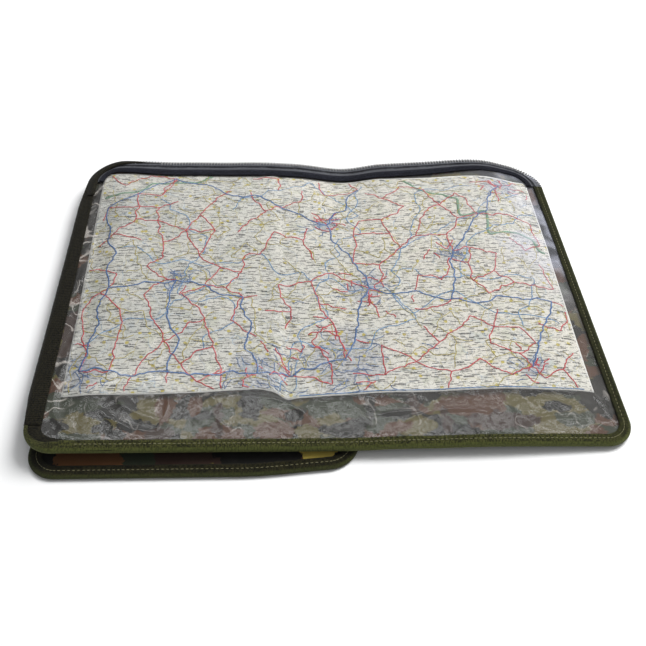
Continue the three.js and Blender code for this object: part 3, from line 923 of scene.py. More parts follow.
def folded_section(leg: float, low: float, high: float, bends: int = 8) -> list[Pair]:
    """Middle line of a tape folded over an edge, from its lower leg's end to its upper leg's.

    Args:
        leg: width of each leg.
        low: outer height of the lower leg.
        high: outer height of the upper leg.
        bends: steps round the fold.

    Returns:
        Pairs of inset and height.
    """
    half_tape = TAPE / 2
    half = (high - low) / 2 - half_tape
    middle = (high + low) / 2
    bulge = min(half, TAPE_BULGE)
    start = bulge + half_tape
    flats = [start + (leg - start) * part for part in (1.0, 0.8, 0.6, 0.42, 0.25, 0.1)]
    lower = [(inset, low + half_tape) for inset in flats]
    upper = [(inset, high - half_tape) for inset in reversed(flats)]
    turns = [math.pi * bend / bends for bend in range(bends + 1)]
    fold = [(start - bulge * math.sin(turn), middle - half * math.cos(turn)) for turn in turns]
    return [*lower, *fold, *upper]


@dataclass
class Stitching:
    """A row of short raised stitches along a tape."""

    pitch: float = 0.0044
    length: float = 0.0031
    thick: float = 0.00062
    seed: int = 7
    slant: float = 0.12

    def row(
        self,
        bm: bmesh.types.BMesh,
        stations: Sequence[Station],
        inset: float,
        lift: Lift,
        height: float,
    ) -> None:
        """Adds the stitches.

        Args:
            bm: the mesh to add to.
            stations: places along the edge.
            inset: distance of the row from the edge.
            lift: gives the point in the frame for x, y and height.
            height: height of the row on the tape.
        """
        rng = random.Random(self.seed)
        spot = stations[0].run + self.pitch
        for here, there in zip(stations, stations[1:]):
            while spot < there.run:
                share = (spot - here.run) / (there.run - here.run)
                first = lift(*here.inward(inset), height)
                last = lift(*there.inward(inset), height)
                centre = first.lerp(last, share)
                turn = (last - first).to_track_quat("X", "Z").to_matrix().to_4x4()
                size = (self.length / 2, self.thick / 2, self.thick / 2.4, 1.0)
                slant = Matrix.Rotation(rng.uniform(-self.slant, self.slant), 4, "Z")
                matrix = Matrix.Translation(centre) @ turn @ slant
                matrix = matrix @ Matrix.Diagonal(size)
                bmesh.ops.create_uvsphere(
                    bm, u_segments=6, v_segments=4, radius=1.0, matrix=matrix
                )
                spot += self.pitch * rng.uniform(0.94, 1.06)


@dataclass
class EdgeBinding:
    """A folded olive tape with a stitch row, for either leaf."""

    name: str
    node: str
    leg: float
    low: float
    high: float
    step: float = 0.0024
    stitch_inset: float = 0.0070
    groove: float = 0.00022
    groove_width: float = 0.0009
    first_top_row: int = 15
    ripple_height: float = 0.00028
    taper: float = 0.0
    first_share: float = 0.3

    def narrow(self, share: float) -> float:
        """How much of the tape shows at a share of its run, narrow under the spine."""
        if not self.taper:
            return 1.0
        return self.first_share + (1 - self.first_share) * smooth(share, 0.0, self.taper)

    def pucker(self, station: Station, inset: float, row: int) -> float:
        """Small waves that the stitches draw into the tape, deeper towards its loose inner edge."""
        free = smooth(inset, 0.004, self.leg)
        wave = ripple(station.run, 0.0, 0.0085, 3.0 + row * 0.05)
        wave += 0.5 * ripple(station.run, 0.0, 0.0035, 8.0)
        height = self.ripple_height * wave * (0.35 + free)
        if row >= self.first_top_row:
            away = (inset - self.stitch_inset) / self.groove_width
            height -= self.groove * math.exp(-(away**2))
        return height

    def build(
        self,
        stations: Sequence[Station],
        lift: Lift,
        tape: bpy.types.Material,
        thread: bpy.types.Material,
        flat: tuple[float, float],
    ) -> None:
        """Makes the tape and its stitches.

        Args:
            stations: places along the leaf's edge.
            lift: gives the point in the frame for x, y and height.
            tape: finish of the tape.
            thread: finish of the stitches.
            flat: the cut width and length of the tape; not used.
        """
        section = folded_section(self.leg, self.low, self.high)
        strip = edge_strip(stations, section, lift, self.pucker, self.narrow)
        piece = finish_piece(strip, f"{self.name}_tape", tape, TAPE)
        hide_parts(self.node)
        bm = bmesh.new()
        seam = [station for station in stations if station.run >= self.taper * stations[-1].run]
        Stitching().row(bm, seam, self.stitch_inset, lift, self.high + 0.00002)
        stitches = finish_piece(bm, f"{self.name}_stitches", thread)


STROKE_EASE = 0.75


@dataclass(frozen=True)
class Stroke:
    """A ridge or furrow in the film, bent sideways in its middle, eased by STROKE_EASE."""

    x: float
    y: float
    to_x: float
    to_y: float
    bend: float
    wide: float
    rise: float

    def at(self, x: float, y: float) -> float:
        """Height that the stroke adds at a place."""
        along = Vector((self.to_x - self.x, self.to_y - self.y))
        length = along.length
        axis = along / length
        away = Vector((x - self.x, y - self.y))
        run = away.dot(axis) / length
        if not -0.15 < run < 1.15:
            return 0.0
        side = away.x * -axis.y + away.y * axis.x - self.bend * 4 * run * (1 - run)
        wide = STROKE_EASE * self.wide
        if abs(side) > 3 * wide:
            return 0.0
        ends = smooth(run, -0.12, 0.2) * (1 - smooth(run, 0.75, 1.12))
        return STROKE_EASE * self.rise * ends * math.exp(-((side / wide) ** 2))


@dataclass
class MapSheet:
    """The paper map in the pocket: its place, its folds and its height."""

    leaf: PocketLeaf
    left: float = 0.026
    front: float = 0.062
    width: float = 0.514
    depth: float = 0.336
    cell: float = 0.0028
    lift: float = 0.0024
    fill: float = 0.0034
    crease: float = 0.4165
    cross_crease: float = 0.62
    ring_centre: tuple[float, float] = (0.216, 0.052)
    paper: float = 0.0003
    knot: float = 0.001
    lean_left: float = 0.0075
    lean_right: float = 0.0055
    slide_left: float = 0.006
    slide_right: float = 0.003
    front_edge: tuple[Triple, ...] = (
        (0.0, 0.0, 0.0),
        (0.16, -0.0005, 0.0),
        (0.27, 0.001, 0.0009),
        (0.335, 0.0028, 0.0019),
        (0.368, 0.0032, 0.0021),
        (0.392, 0.0002, 0.0004),
        (0.416, -0.0060, -0.0013),
        (0.436, -0.0050, -0.0010),
        (0.5, -0.002, -0.0005),
        (0.6, 0.0, 0.0),
        (0.72, 0.0, 0.0003),
        (0.84, 0.0018, 0.0008),
        (0.92, 0.001, 0.0002),
        (1.0, -0.0008, 0.0),
    )
    pulls: list[float] = field(init=False)
    rises: list[float] = field(init=False)

    def __post_init__(self) -> None:
        """Reads the front edge's shape at even steps."""
        count = round(self.width / self.knot)
        shares = [min(step / count, 1.0) for step in range(count + 2)]
        pulls = [(across, pull) for across, pull, _ in self.front_edge]
        rises = [(across, rise) for across, _, rise in self.front_edge]
        self.pulls = [through(pulls, share) for share in shares]
        self.rises = [through(rises, share) for share in shares]

    def crumple(self, u: float, v: float) -> float:
        """Folds and buckles of the paper over its even lie."""
        x, y = u * self.width, v * self.depth
        front = (1 - smooth(v, 0.0, 0.42)) * self.rises[round(x / self.knot)]
        line = self.crease + 0.006 * math.sin(v * 5.2)
        away = (u - line) * self.width
        fold = 0.0010 * math.exp(-((away + 0.011) / 0.010) ** 2)
        fold -= 0.0011 * math.exp(-(away / 0.0045) ** 2)
        rings = math.hypot(x - self.ring_centre[0], y - self.ring_centre[1])
        buckle = 0.00055 * math.sin(rings * 420.0) * math.exp(-((rings / 0.055) ** 2))
        level = (v - self.cross_crease) * self.depth
        cross = 0.0016 * max(0.0, 1 - abs(level) / 0.026) * (0.35 + 0.65 * smooth(u, 0.3, 0.6))
        soft = 0.0008 * ripple(x, y, 0.07, 1.0) + 0.00035 * ripple(x, y, 0.024, 4.0)
        return front + fold + buckle + cross + soft

    def spot(self, u: float, v: float) -> tuple[float, float]:
        """The leaf place of a share across and along the map, which lies a little askew."""
        pull = self.pulls[round(u * self.width / self.knot)] * (1 - smooth(v, 0.0, 0.3))
        lean = -self.lean_left * v * (1 - u) - self.lean_right * u * (1 - v)
        slide = v * (self.slide_left * (1 - u) - self.slide_right * u)
        return self.left + u * self.width + lean, self.front + v * self.depth + pull + slide

    def top(self, u: float, v: float) -> float:
        """Height of the paper's top over the cloth's underside."""
        x, y = self.spot(u, v)
        return self.lift + self.fill * self.leaf.swell(x, y) + self.crumple(u, v)

    def surface(self, u: float, v: float, over: float = 0.0) -> Vector:
        """The point in the frame, a little over the paper's top."""
        x, y = self.spot(u, v)
        return self.leaf.place(x, y, self.top(u, v) + over)

    def build(self, built_up: tuple[Triple, ...]) -> bpy.types.Object:
        """Makes the paper.

        Args:
            built_up: middle and radius of each town that is printed grey.
        """
        columns, rows = round(self.width / self.cell), round(self.depth / self.cell)

        def place(column: int, row: int) -> tuple[Vector, Vector]:
            """One grid point of the paper."""
            u, v = column / columns, row / rows
            flat = Vector((u * self.width, v * self.depth, 0.0))
            return self.surface(u, v, -self.paper / 2), flat

        bm = bmesh.new()
        warp_grid(bm, columns, rows, place)
        material = PrintedPaper(self.width, self.depth, built_up=built_up).material()
        paper = finish_piece(bm, "map_paper_sheet", material, self.paper)
        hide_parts("map_sheet")
        return paper


class Ink(Enum):
    """Printed lines: colour as linear light, and width."""

    MOTORWAY = ((0.045, 0.135, 0.345, 1), 0.0016)
    MAIN_ROAD = ((0.52, 0.018, 0.035, 1), 0.0012)
    LOCAL_ROAD = ((0.40, 0.32, 0.04, 1), 0.0008)
    STREET = ((0.10, 0.17, 0.33, 1), 0.0009)
    RIVER = ((0.12, 0.27, 0.48, 1), 0.0011)
    BOUNDARY = ((0.15, 0.28, 0.18, 1), 0.0030)
    FRONT_RULE = ((0.045, 0.15, 0.34, 1), 0.0012)


@dataclass
class RoadPrint:
    """Large lines of the map's print, laid out by chance and not after any real place."""

    sheet: MapSheet
    seed: int = 23
    towns: int = 170
    spacing: float = 0.0215
    step: float = 0.0022
    edge: float = 0.0022
    ink_depth: float = 0.00004
    tries: int = 9000
    rng: random.Random = field(init=False)
    hubs: list[Vector] = field(init=False)

    def __post_init__(self) -> None:
        """Seeds the layout and places its chief towns."""
        self.rng = random.Random(self.seed)
        self.hubs = self.scatter(17, 0.07)

    def built_up(self) -> tuple[Triple, ...]:
        """Middle and radius of the towns that are printed grey."""
        radii = (0.026, 0.018, 0.032, 0.050, 0.018, 0.026, 0.018, 0.036, 0.020)
        return tuple((hub.x, hub.y, radius) for hub, radius in zip(self.hubs, radii))

    def scatter(self, count: int, spacing: float) -> list[Vector]:
        """Places that keep their spacing, in metres on the sheet."""
        found: list[Vector] = []
        width, depth = self.sheet.width, self.sheet.depth
        for _ in range(self.tries):
            spot = Vector((self.rng.uniform(0.0, width), self.rng.uniform(0.0, depth)))
            if all((spot - other).length > spacing for other in found):
                found.append(spot)
            if len(found) == count:
                break
        return found

    def links(self, towns: Sequence[Vector], reach: float) -> list[tuple[Vector, Vector]]:
        """Pairs of towns within reach of each other, with no third town nearer to both."""

        def between(a: Vector, b: Vector) -> bool:
            """Whether another town lies nearer to both."""
            near = 0.97 * (a - b).length
            return any(max((a - c).length, (b - c).length) < near for c in towns if c not in (a, b))

        pairs = [(a, b) for index, a in enumerate(towns) for b in towns[index + 1 :]]
        return [(a, b) for a, b in pairs if (a - b).length < reach and not between(a, b)]

    def wander(self, a: Vector, b: Vector, sway: float) -> list[Vector]:
        """A winding way between two places.

        Args:
            a: where it starts.
            b: where it ends.
            sway: how far it strays, as a share of its length.

        Returns:
            Points about one step apart.
        """
        across = b - a
        length = across.length
        side = Vector((-across.y, across.x)) / max(length, 1e-6)
        seed = self.rng.uniform(0, 90)
        count = max(4, round(length / self.step))
        points = []
        for index in range(count + 1):
            t = index / count
            wide = 2.0 * ripple(t * length, 0.0, 0.035, seed) * sway * length
            wide += 0.0034 * ripple(t * length, 0.0, 0.010, seed + 7)
            wide += 0.0016 * ripple(t * length, 0.0, 0.0048, seed)
            points.append(a + across * t + side * (wide * math.sin(math.pi * t) ** 0.7))
        return points

    def ribbon(
        self, bm: bmesh.types.BMesh, points: Sequence[Vector], width: float, over: float
    ) -> None:
        """Lays a printed line on the paper.

        Args:
            bm: the mesh to add to.
            points: its way, in metres on the sheet.
            width: its width.
            over: its height over the paper.
        """
        right, back = self.sheet.width - self.edge, self.sheet.depth - self.edge
        inside = [p for p in points if self.edge < p.x < right and self.edge < p.y < back]
        gaps = [(after - before).length for before, after in zip(inside, inside[1:])]
        if len(inside) < 3 or max(gaps) > 3 * self.step:
            return

        def place(column: int, row: int) -> tuple[Vector, Vector]:
            """One point of the line's left or right side."""
            before, after = inside[max(column - 1, 0)], inside[min(column + 1, len(inside) - 1)]
            along = (after - before).normalized()
            p = inside[column] + Vector((-along.y, along.x)) * (row - 0.5) * width
            u, v = p.x / self.sheet.width, p.y / self.sheet.depth
            return self.sheet.surface(u, v, over), Vector((p.x, p.y, 0.0))

        warp_grid(bm, len(inside) - 1, 1, place)

    def build(self) -> list[bpy.types.Object]:
        """Makes each ink's lines as one piece."""
        towns = self.scatter(self.towns, self.spacing)
        hubs = self.hubs
        ways: dict[Ink, list[list[Vector]]] = {ink: [] for ink in Ink}
        for a, b in self.links(hubs, 0.20):
            ways[Ink.MOTORWAY].append(self.wander(a, b, 0.06))
        for a, b in self.links([*hubs, *towns], 0.09):
            if self.rng.random() < 0.66:
                ways[Ink.MAIN_ROAD].append(self.wander(a, b, 0.085))
        for a, b in self.links(self.scatter(420, 0.0125), 0.05):
            if self.rng.random() < 0.5:
                ways[Ink.LOCAL_ROAD].append(self.wander(a, b, 0.12))
        for x, y, radius in self.built_up():
            for _ in range(round(1150 * radius)):
                start = Vector((self.rng.gauss(x, radius * 0.55), self.rng.gauss(y, radius * 0.5)))
                turn = self.rng.uniform(0, math.tau)
                way = Vector((math.cos(turn), math.sin(turn)))
                end = start + way * self.rng.uniform(0.008, 0.018)
                ink = Ink.STREET if self.rng.random() < 0.75 else Ink.MAIN_ROAD
                ways[ink].append(self.wander(start, end, 0.12))
        for start, end, sway in (
            (Vector((0.03, 0.2)), Vector((0.5, 0.09)), 0.05),
            (Vector((0.31, 0.325)), Vector((0.22, 0.01)), 0.07),
            (Vector((0.5, 0.31)), Vector((0.34, 0.2)), 0.06),
            (Vector((0.01, 0.06)), Vector((0.16, 0.15)), 0.07),
        ):
            ways[Ink.RIVER].append(self.wander(start, end, sway))
        for a, b in self.links(self.scatter(26, 0.055), 0.10):
            if self.rng.random() < 0.5:
                ways[Ink.RIVER].append(self.wander(a, b, 0.14))
        ways[Ink.BOUNDARY].append(self.wander(Vector((0.36, 0.331)), Vector((0.509, 0.2)), 0.16))
        ways[Ink.BOUNDARY].append(self.wander(Vector((0.006, 0.29)), Vector((0.13, 0.331)), 0.14))
        rule = [Vector((0.225 + self.step * step, 0.0023)) for step in range(128)]
        ways[Ink.FRONT_RULE].append(rule)
        made = []
        for layer, (ink, lines) in enumerate(ways.items()):
            colour, wide = ink.value
            bm = bmesh.new()
            for line in lines:
                self.ribbon(bm, line, wide, 0.00008 + 0.00003 * (len(Ink) - layer))
            name = ink.name.lower()
            finish = PrintInk(f"ink_{name}", colour).material()
            made.append(finish_piece(bm, f"map_print_{name}", finish, self.ink_depth))
        return made


@dataclass
class WindowFilm:
    """The clear sheet over the map, hugging it and buckled along its edges."""

    leaf: PocketLeaf
    sheet: MapSheet
    cell: float = 0.0023
    seat: float = 0.0035
    fill: float = 0.0040
    left_held: float = 0.0135
    side_held: float = 0.0125
    back_held: float = 0.030
    over_paper: float = 0.0008
    film: float = 0.0005
    strokes: tuple[Stroke, ...] = (
        Stroke(0.034, 0.160, 0.022, 0.045, -0.006, 0.0045, 0.0022),
        Stroke(0.022, 0.050, 0.062, 0.016, -0.010, 0.0035, 0.0026),
        Stroke(0.075, 0.060, 0.125, 0.030, -0.006, 0.0040, 0.0020),
        Stroke(0.060, 0.050, 0.118, 0.020, -0.008, 0.0030, 0.0022),
        Stroke(0.128, 0.062, 0.118, 0.016, 0.004, 0.0040, 0.0026),
        Stroke(0.160, 0.060, 0.185, 0.020, -0.003, 0.0040, 0.0018),
        Stroke(0.196, 0.062, 0.178, 0.014, 0.003, 0.0030, 0.0014),
        Stroke(0.205, 0.056, 0.262, 0.026, 0.009, 0.0035, 0.0024),
        Stroke(0.222, 0.018, 0.300, 0.024, -0.012, 0.0030, 0.0020),
        Stroke(0.262, 0.056, 0.246, 0.016, -0.002, 0.0032, 0.0022),
        Stroke(0.296, 0.052, 0.312, 0.022, 0.002, 0.0036, 0.0018),
        Stroke(0.318, 0.036, 0.418, 0.052, -0.004, 0.0018, 0.0024),
        Stroke(0.330, 0.052, 0.345, 0.032, 0.002, 0.0028, 0.0016),
        Stroke(0.345, 0.028, 0.430, 0.034, 0.008, 0.0026, 0.0020),
        Stroke(0.365, 0.048, 0.372, 0.016, 0.003, 0.0034, 0.0018),
        Stroke(0.402, 0.058, 0.412, 0.020, 0.002, 0.0040, 0.0017),
        Stroke(0.436, 0.058, 0.446, 0.018, 0.004, 0.0036, 0.0015),
        Stroke(0.455, 0.024, 0.520, 0.032, 0.004, 0.0030, 0.0014),
        Stroke(0.472, 0.050, 0.508, 0.036, 0.004, 0.0030, 0.0015),
        Stroke(0.530, 0.060, 0.546, 0.020, 0.003, 0.0030, 0.0020),
        Stroke(0.020, 0.376, 0.034, 0.352, 0.003, 0.0026, 0.0030),
        Stroke(0.018, 0.334, 0.036, 0.344, 0.004, 0.0024, 0.0030),
        Stroke(0.017, 0.298, 0.035, 0.322, 0.005, 0.0026, 0.0032),
        Stroke(0.016, 0.262, 0.034, 0.284, 0.006, 0.0026, 0.0030),
        Stroke(0.017, 0.222, 0.036, 0.248, -0.006, 0.0028, 0.0032),
        Stroke(0.017, 0.180, 0.035, 0.204, 0.006, 0.0028, 0.0030),
        Stroke(0.544, 0.330, 0.534, 0.290, 0.003, 0.0028, 0.0018),
        Stroke(0.546, 0.250, 0.536, 0.215, 0.003, 0.0028, 0.0016),
        Stroke(0.546, 0.180, 0.536, 0.140, 0.003, 0.0026, 0.0018),
        Stroke(0.546, 0.110, 0.534, 0.070, 0.003, 0.0028, 0.0018),
        Stroke(0.180, 0.120, 0.240, 0.070, 0.010, 0.0060, 0.0008),
        Stroke(0.300, 0.250, 0.420, 0.230, 0.015, 0.0080, 0.0007),
    )

    def height(self, x: float, y: float) -> float:
        """Height of the film's middle over the cloth's underside."""
        swell = self.leaf.swell(x, y)
        u = (x - self.sheet.left) / self.sheet.width
        v = (y - self.sheet.front) / self.sheet.depth
        sides = min(x - self.left_held, self.leaf.width - self.side_held - x)
        ends = min(y - self.side_held, self.leaf.depth - self.back_held - y)
        free = smooth(min(sides, ends), 0.0, 0.008)
        rise = self.seat + self.fill * swell
        rise += free * sum(stroke.at(x, y) for stroke in self.strokes)
        margin = smooth(0.066 - min(y, 0.066), 0.0, 0.012)
        margin += smooth(abs(x - self.leaf.width / 2), 0.245, 0.262)
        buckles = 0.0011 * ripple(x, y * 0.45, 0.013, 2.0) + 0.0005 * ripple(x, y, 0.006, 5.0)
        rise += free * min(margin, 1.0) * buckles
        rise += free * (0.0005 * ripple(x, y, 0.045, 6.0) + 0.00022 * ripple(x, y, 0.016, 9.0))
        past_u, past_v = 0.03, 0.05
        if -past_u < u < 1 + past_u and -past_v < v < 1 + past_v:
            near = smooth(min(u + past_u, 1 + past_u - u), 0.0, past_u)
            near *= smooth(min(v + past_v, 1 + past_v - v), 0.0, past_v)
            bound = self.sheet.top(min(max(u, 0.0), 1.0), min(max(v, 0.0), 1.0)) + self.over_paper
            rise += max(0.0, bound - rise) * near
        return rise

    def build(self) -> bpy.types.Object:
        """Makes the film."""
        shrink = self.leaf.sheet_front
        length = self.leaf.depth - shrink - self.leaf.sheet_back
        columns, rows = round(self.leaf.width / self.cell), round(length / self.cell)

        def place(column: int, row: int) -> tuple[Vector, Vector]:
            """One grid point of the film."""
            share = row / rows
            y = shrink + length * share * (0.5 + 0.5 * share)
            x = self.leaf.draw_in(self.leaf.width * column / columns, y, shrink)
            return self.leaf.place(x, y, self.height(x, y)), Vector((x, y, 0.0))

        bm = bmesh.new()
        warp_grid(bm, columns, rows, place)
        material = ClearFilm(self.leaf.width).material()
        film = finish_piece(bm, "window_film", material, self.film)
        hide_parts("pocket_window")
        return film


@dataclass
class PocketBack:
    """The camouflage cloth behind the map."""

    leaf: PocketLeaf
    cell: float = 0.0035
    patches: tuple[Patch, ...] = (
        Patch(0.113, 0.048, 0.018, 0.020, Dye.SAND),
        Patch(0.124, 0.048, 0.009, 0.018, Dye.RUST),
        Patch(0.151, 0.053, 0.007, 0.013, Dye.RUST),
        Patch(0.173, 0.034, 0.005, 0.020, Dye.BARK),
        Patch(0.069, 0.027, 0.009, 0.007, Dye.SOOT),
        Patch(0.081, 0.018, 0.010, 0.007, Dye.SOOT),
        Patch(0.101, 0.028, 0.018, 0.007, Dye.SOOT),
        Patch(0.119, 0.018, 0.014, 0.008, Dye.BARK),
        Patch(0.203, 0.052, 0.011, 0.015, Dye.SOOT),
        Patch(0.226, 0.021, 0.018, 0.012, Dye.RUST),
        Patch(0.243, 0.040, 0.009, 0.007, Dye.SOOT),
        Patch(0.256, 0.020, 0.012, 0.010, Dye.SAND),
        Patch(0.315, 0.050, 0.005, 0.016, Dye.SOOT),
        Patch(0.357, 0.052, 0.005, 0.013, Dye.BARK),
        Patch(0.386, 0.030, 0.005, 0.015, Dye.BARK),
        Patch(0.440, 0.030, 0.036, 0.010, Dye.BARK),
        Patch(0.493, 0.046, 0.012, 0.007, Dye.SOOT),
        Patch(0.541, 0.050, 0.020, 0.018, Dye.SOOT),
        Patch(0.024, 0.335, 0.016, 0.066, Dye.SOOT),
        Patch(0.022, 0.225, 0.012, 0.032, Dye.SOOT),
        Patch(0.028, 0.262, 0.007, 0.009, Dye.SAND),
        Patch(0.022, 0.140, 0.010, 0.038, Dye.BARK),
        Patch(0.545, 0.300, 0.010, 0.050, Dye.SOOT),
        Patch(0.400, 0.392, 0.045, 0.012, Dye.SOOT),
        Patch(0.440, 0.396, 0.020, 0.009, Dye.SAND),
    )

    def build(self) -> bpy.types.Object:
        """Makes the cloth."""
        shrink = self.leaf.sheet_front
        length = self.leaf.depth - shrink - self.leaf.sheet_back
        columns, rows = round(self.leaf.width / self.cell), round(length / self.cell)

        def place(column: int, row: int) -> tuple[Vector, Vector]:
            """One grid point of the cloth."""
            y = shrink + length * row / rows
            x = self.leaf.draw_in(self.leaf.width * column / columns, y, shrink)
            slack = 0.0003 * ripple(x, y, 0.03, 12.0) * smooth(self.leaf.swell(x, y), 0.0, 0.3)
            return self.leaf.place(x, y, 0.0009 + slack), Vector((x, y, 0.0))

        bm = bmesh.new()
        warp_grid(bm, columns, rows, place)
        material = CamouflageCloth(patches=self.patches).material()
        cloth = finish_piece(bm, "pocket_back_cloth", material, 0.0011)
        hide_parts("pocket_back")
        return cloth


@dataclass
class Spine:
    """The dark cloth band that folds round the left edge and joins the leaves, with its ends."""

    leaf: PocketLeaf
    leg: float = 0.022
    top_leg_front: float = 0.0152
    top_leg_back: float = 0.0108
    bulge: float = 0.005
    bend_radius: float = 0.0085
    low: float = 0.0051
    over: float = 0.0047
    step: float = 0.003

    def build(self) -> bpy.types.Object:
        """Makes the band."""
        start = self.leaf.front_corner + 0.0005
        end = self.leaf.depth - self.leaf.zip_corner - 0.001
        count = round((end - start) / self.step)
        legs, bends = 6, 14
        sections = 2 * legs + bends

        def place(column: int, row: int) -> tuple[Vector, Vector]:
            """One grid point of the band, from its lower leg round the fold to its upper leg."""
            y = start + (end - start) * row / count
            across = column * 0.004
            crease = 0.0004 * ripple(across, y, 0.012, 14.0)
            crease += 0.0003 * ripple(across, y, 0.005, 17.0)
            along = row / count
            round_off = math.sqrt(smooth(along, 0.0, 0.13) * smooth(1 - along, 0.0, 0.13))
            end_dip = 0.0006 * (1 - smooth(min(along, 1 - along), 0.0, 0.035))
            high = self.leaf.height(0.0, y) + self.over - end_dip
            top_leg = self.top_leg_front + (self.top_leg_back - self.top_leg_front) * along
            if column <= legs:
                reach = self.leg * (1 - column / legs)
                point = self.leaf.corner + Vector((reach, y, self.low))
            elif column >= legs + bends:
                reach = top_leg * (column - legs - bends) / legs
                lift = self.over - end_dip + crease * smooth(reach, 0.0, 0.004)
                point = self.leaf.place(reach, y, lift)
            else:
                turn = math.pi * (column - legs) / bends
                half = (high - self.low) / 2
                out = (self.bulge * (0.04 + 0.96 * round_off) + crease * round_off) * math.sin(turn)
                level = self.low + half - half * math.cos(turn)
                point = self.leaf.corner + Vector((-out, y, level))
            return point, Vector((y, column * 0.0045, 0.0))

        bm = bmesh.new()
        warp_grid(bm, sections, count, place)
        cloth = SPINE_CLOTH.material()
        band = finish_piece(bm, "spine_cloth", cloth, 0.0009)
        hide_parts("spine_band")
        self.front_end(cloth)
        self.back_end(cloth)
        return band

    def front_end(self, cloth: bpy.types.Material) -> bpy.types.Object:
        """Makes the end of the band that runs under the tape round the front corner."""
        r = self.leaf.front_corner
        corner = Corner(r, r, r, 2)
        stations = outline_run([corner], self.step, head=(0.0, 0.046), tail=(0.082, 0.0))
        section = [(inset, 0.00398) for inset in (0.0014, 0.005, 0.009, 0.012, 0.0152)]

        def narrow(share: float) -> float:
            """How much of the end's width is kept at a share of its run."""
            return 1.0 - 0.55 * smooth(share, 0.42, 1.0)

        strip = edge_strip(stations, section, self.leaf.place, narrow=narrow)
        return finish_piece(strip, "spine_front_end", cloth, 0.0004)

    def back_end(self, cloth: bpy.types.Material) -> bpy.types.Object:
        """Makes the end of the band that covers the zip's end at the back corner."""
        r, depth = self.leaf.zip_corner, self.leaf.depth
        corner = Corner(r, depth - r, r, 1)
        stations = outline_run([corner], self.step, head=(0.085, depth), tail=(0.0, depth - 0.066))
        section = [
            (-0.0009, 0.0008),
            (-0.0002, 0.0032),
            (0.002, 0.0048),
            (0.005, 0.0058),
            (0.0085, 0.0063),
            (0.0128, 0.0062),
        ]

        def sink(station: Station, inset: float, row: int) -> float:
            """Lets the end dive under the zip's tape."""
            return -0.0042 * (1 - smooth(station.run, 0.0, 0.05))

        def narrow(share: float) -> float:
            """How much of the end's width is kept at a share of its run."""
            return 0.15 + 0.85 * smooth(share, 0.0, 0.5)

        strip = edge_strip(stations, section, self.leaf.place, sink, narrow)
        return finish_piece(strip, "spine_back_end", cloth, 0.0005)


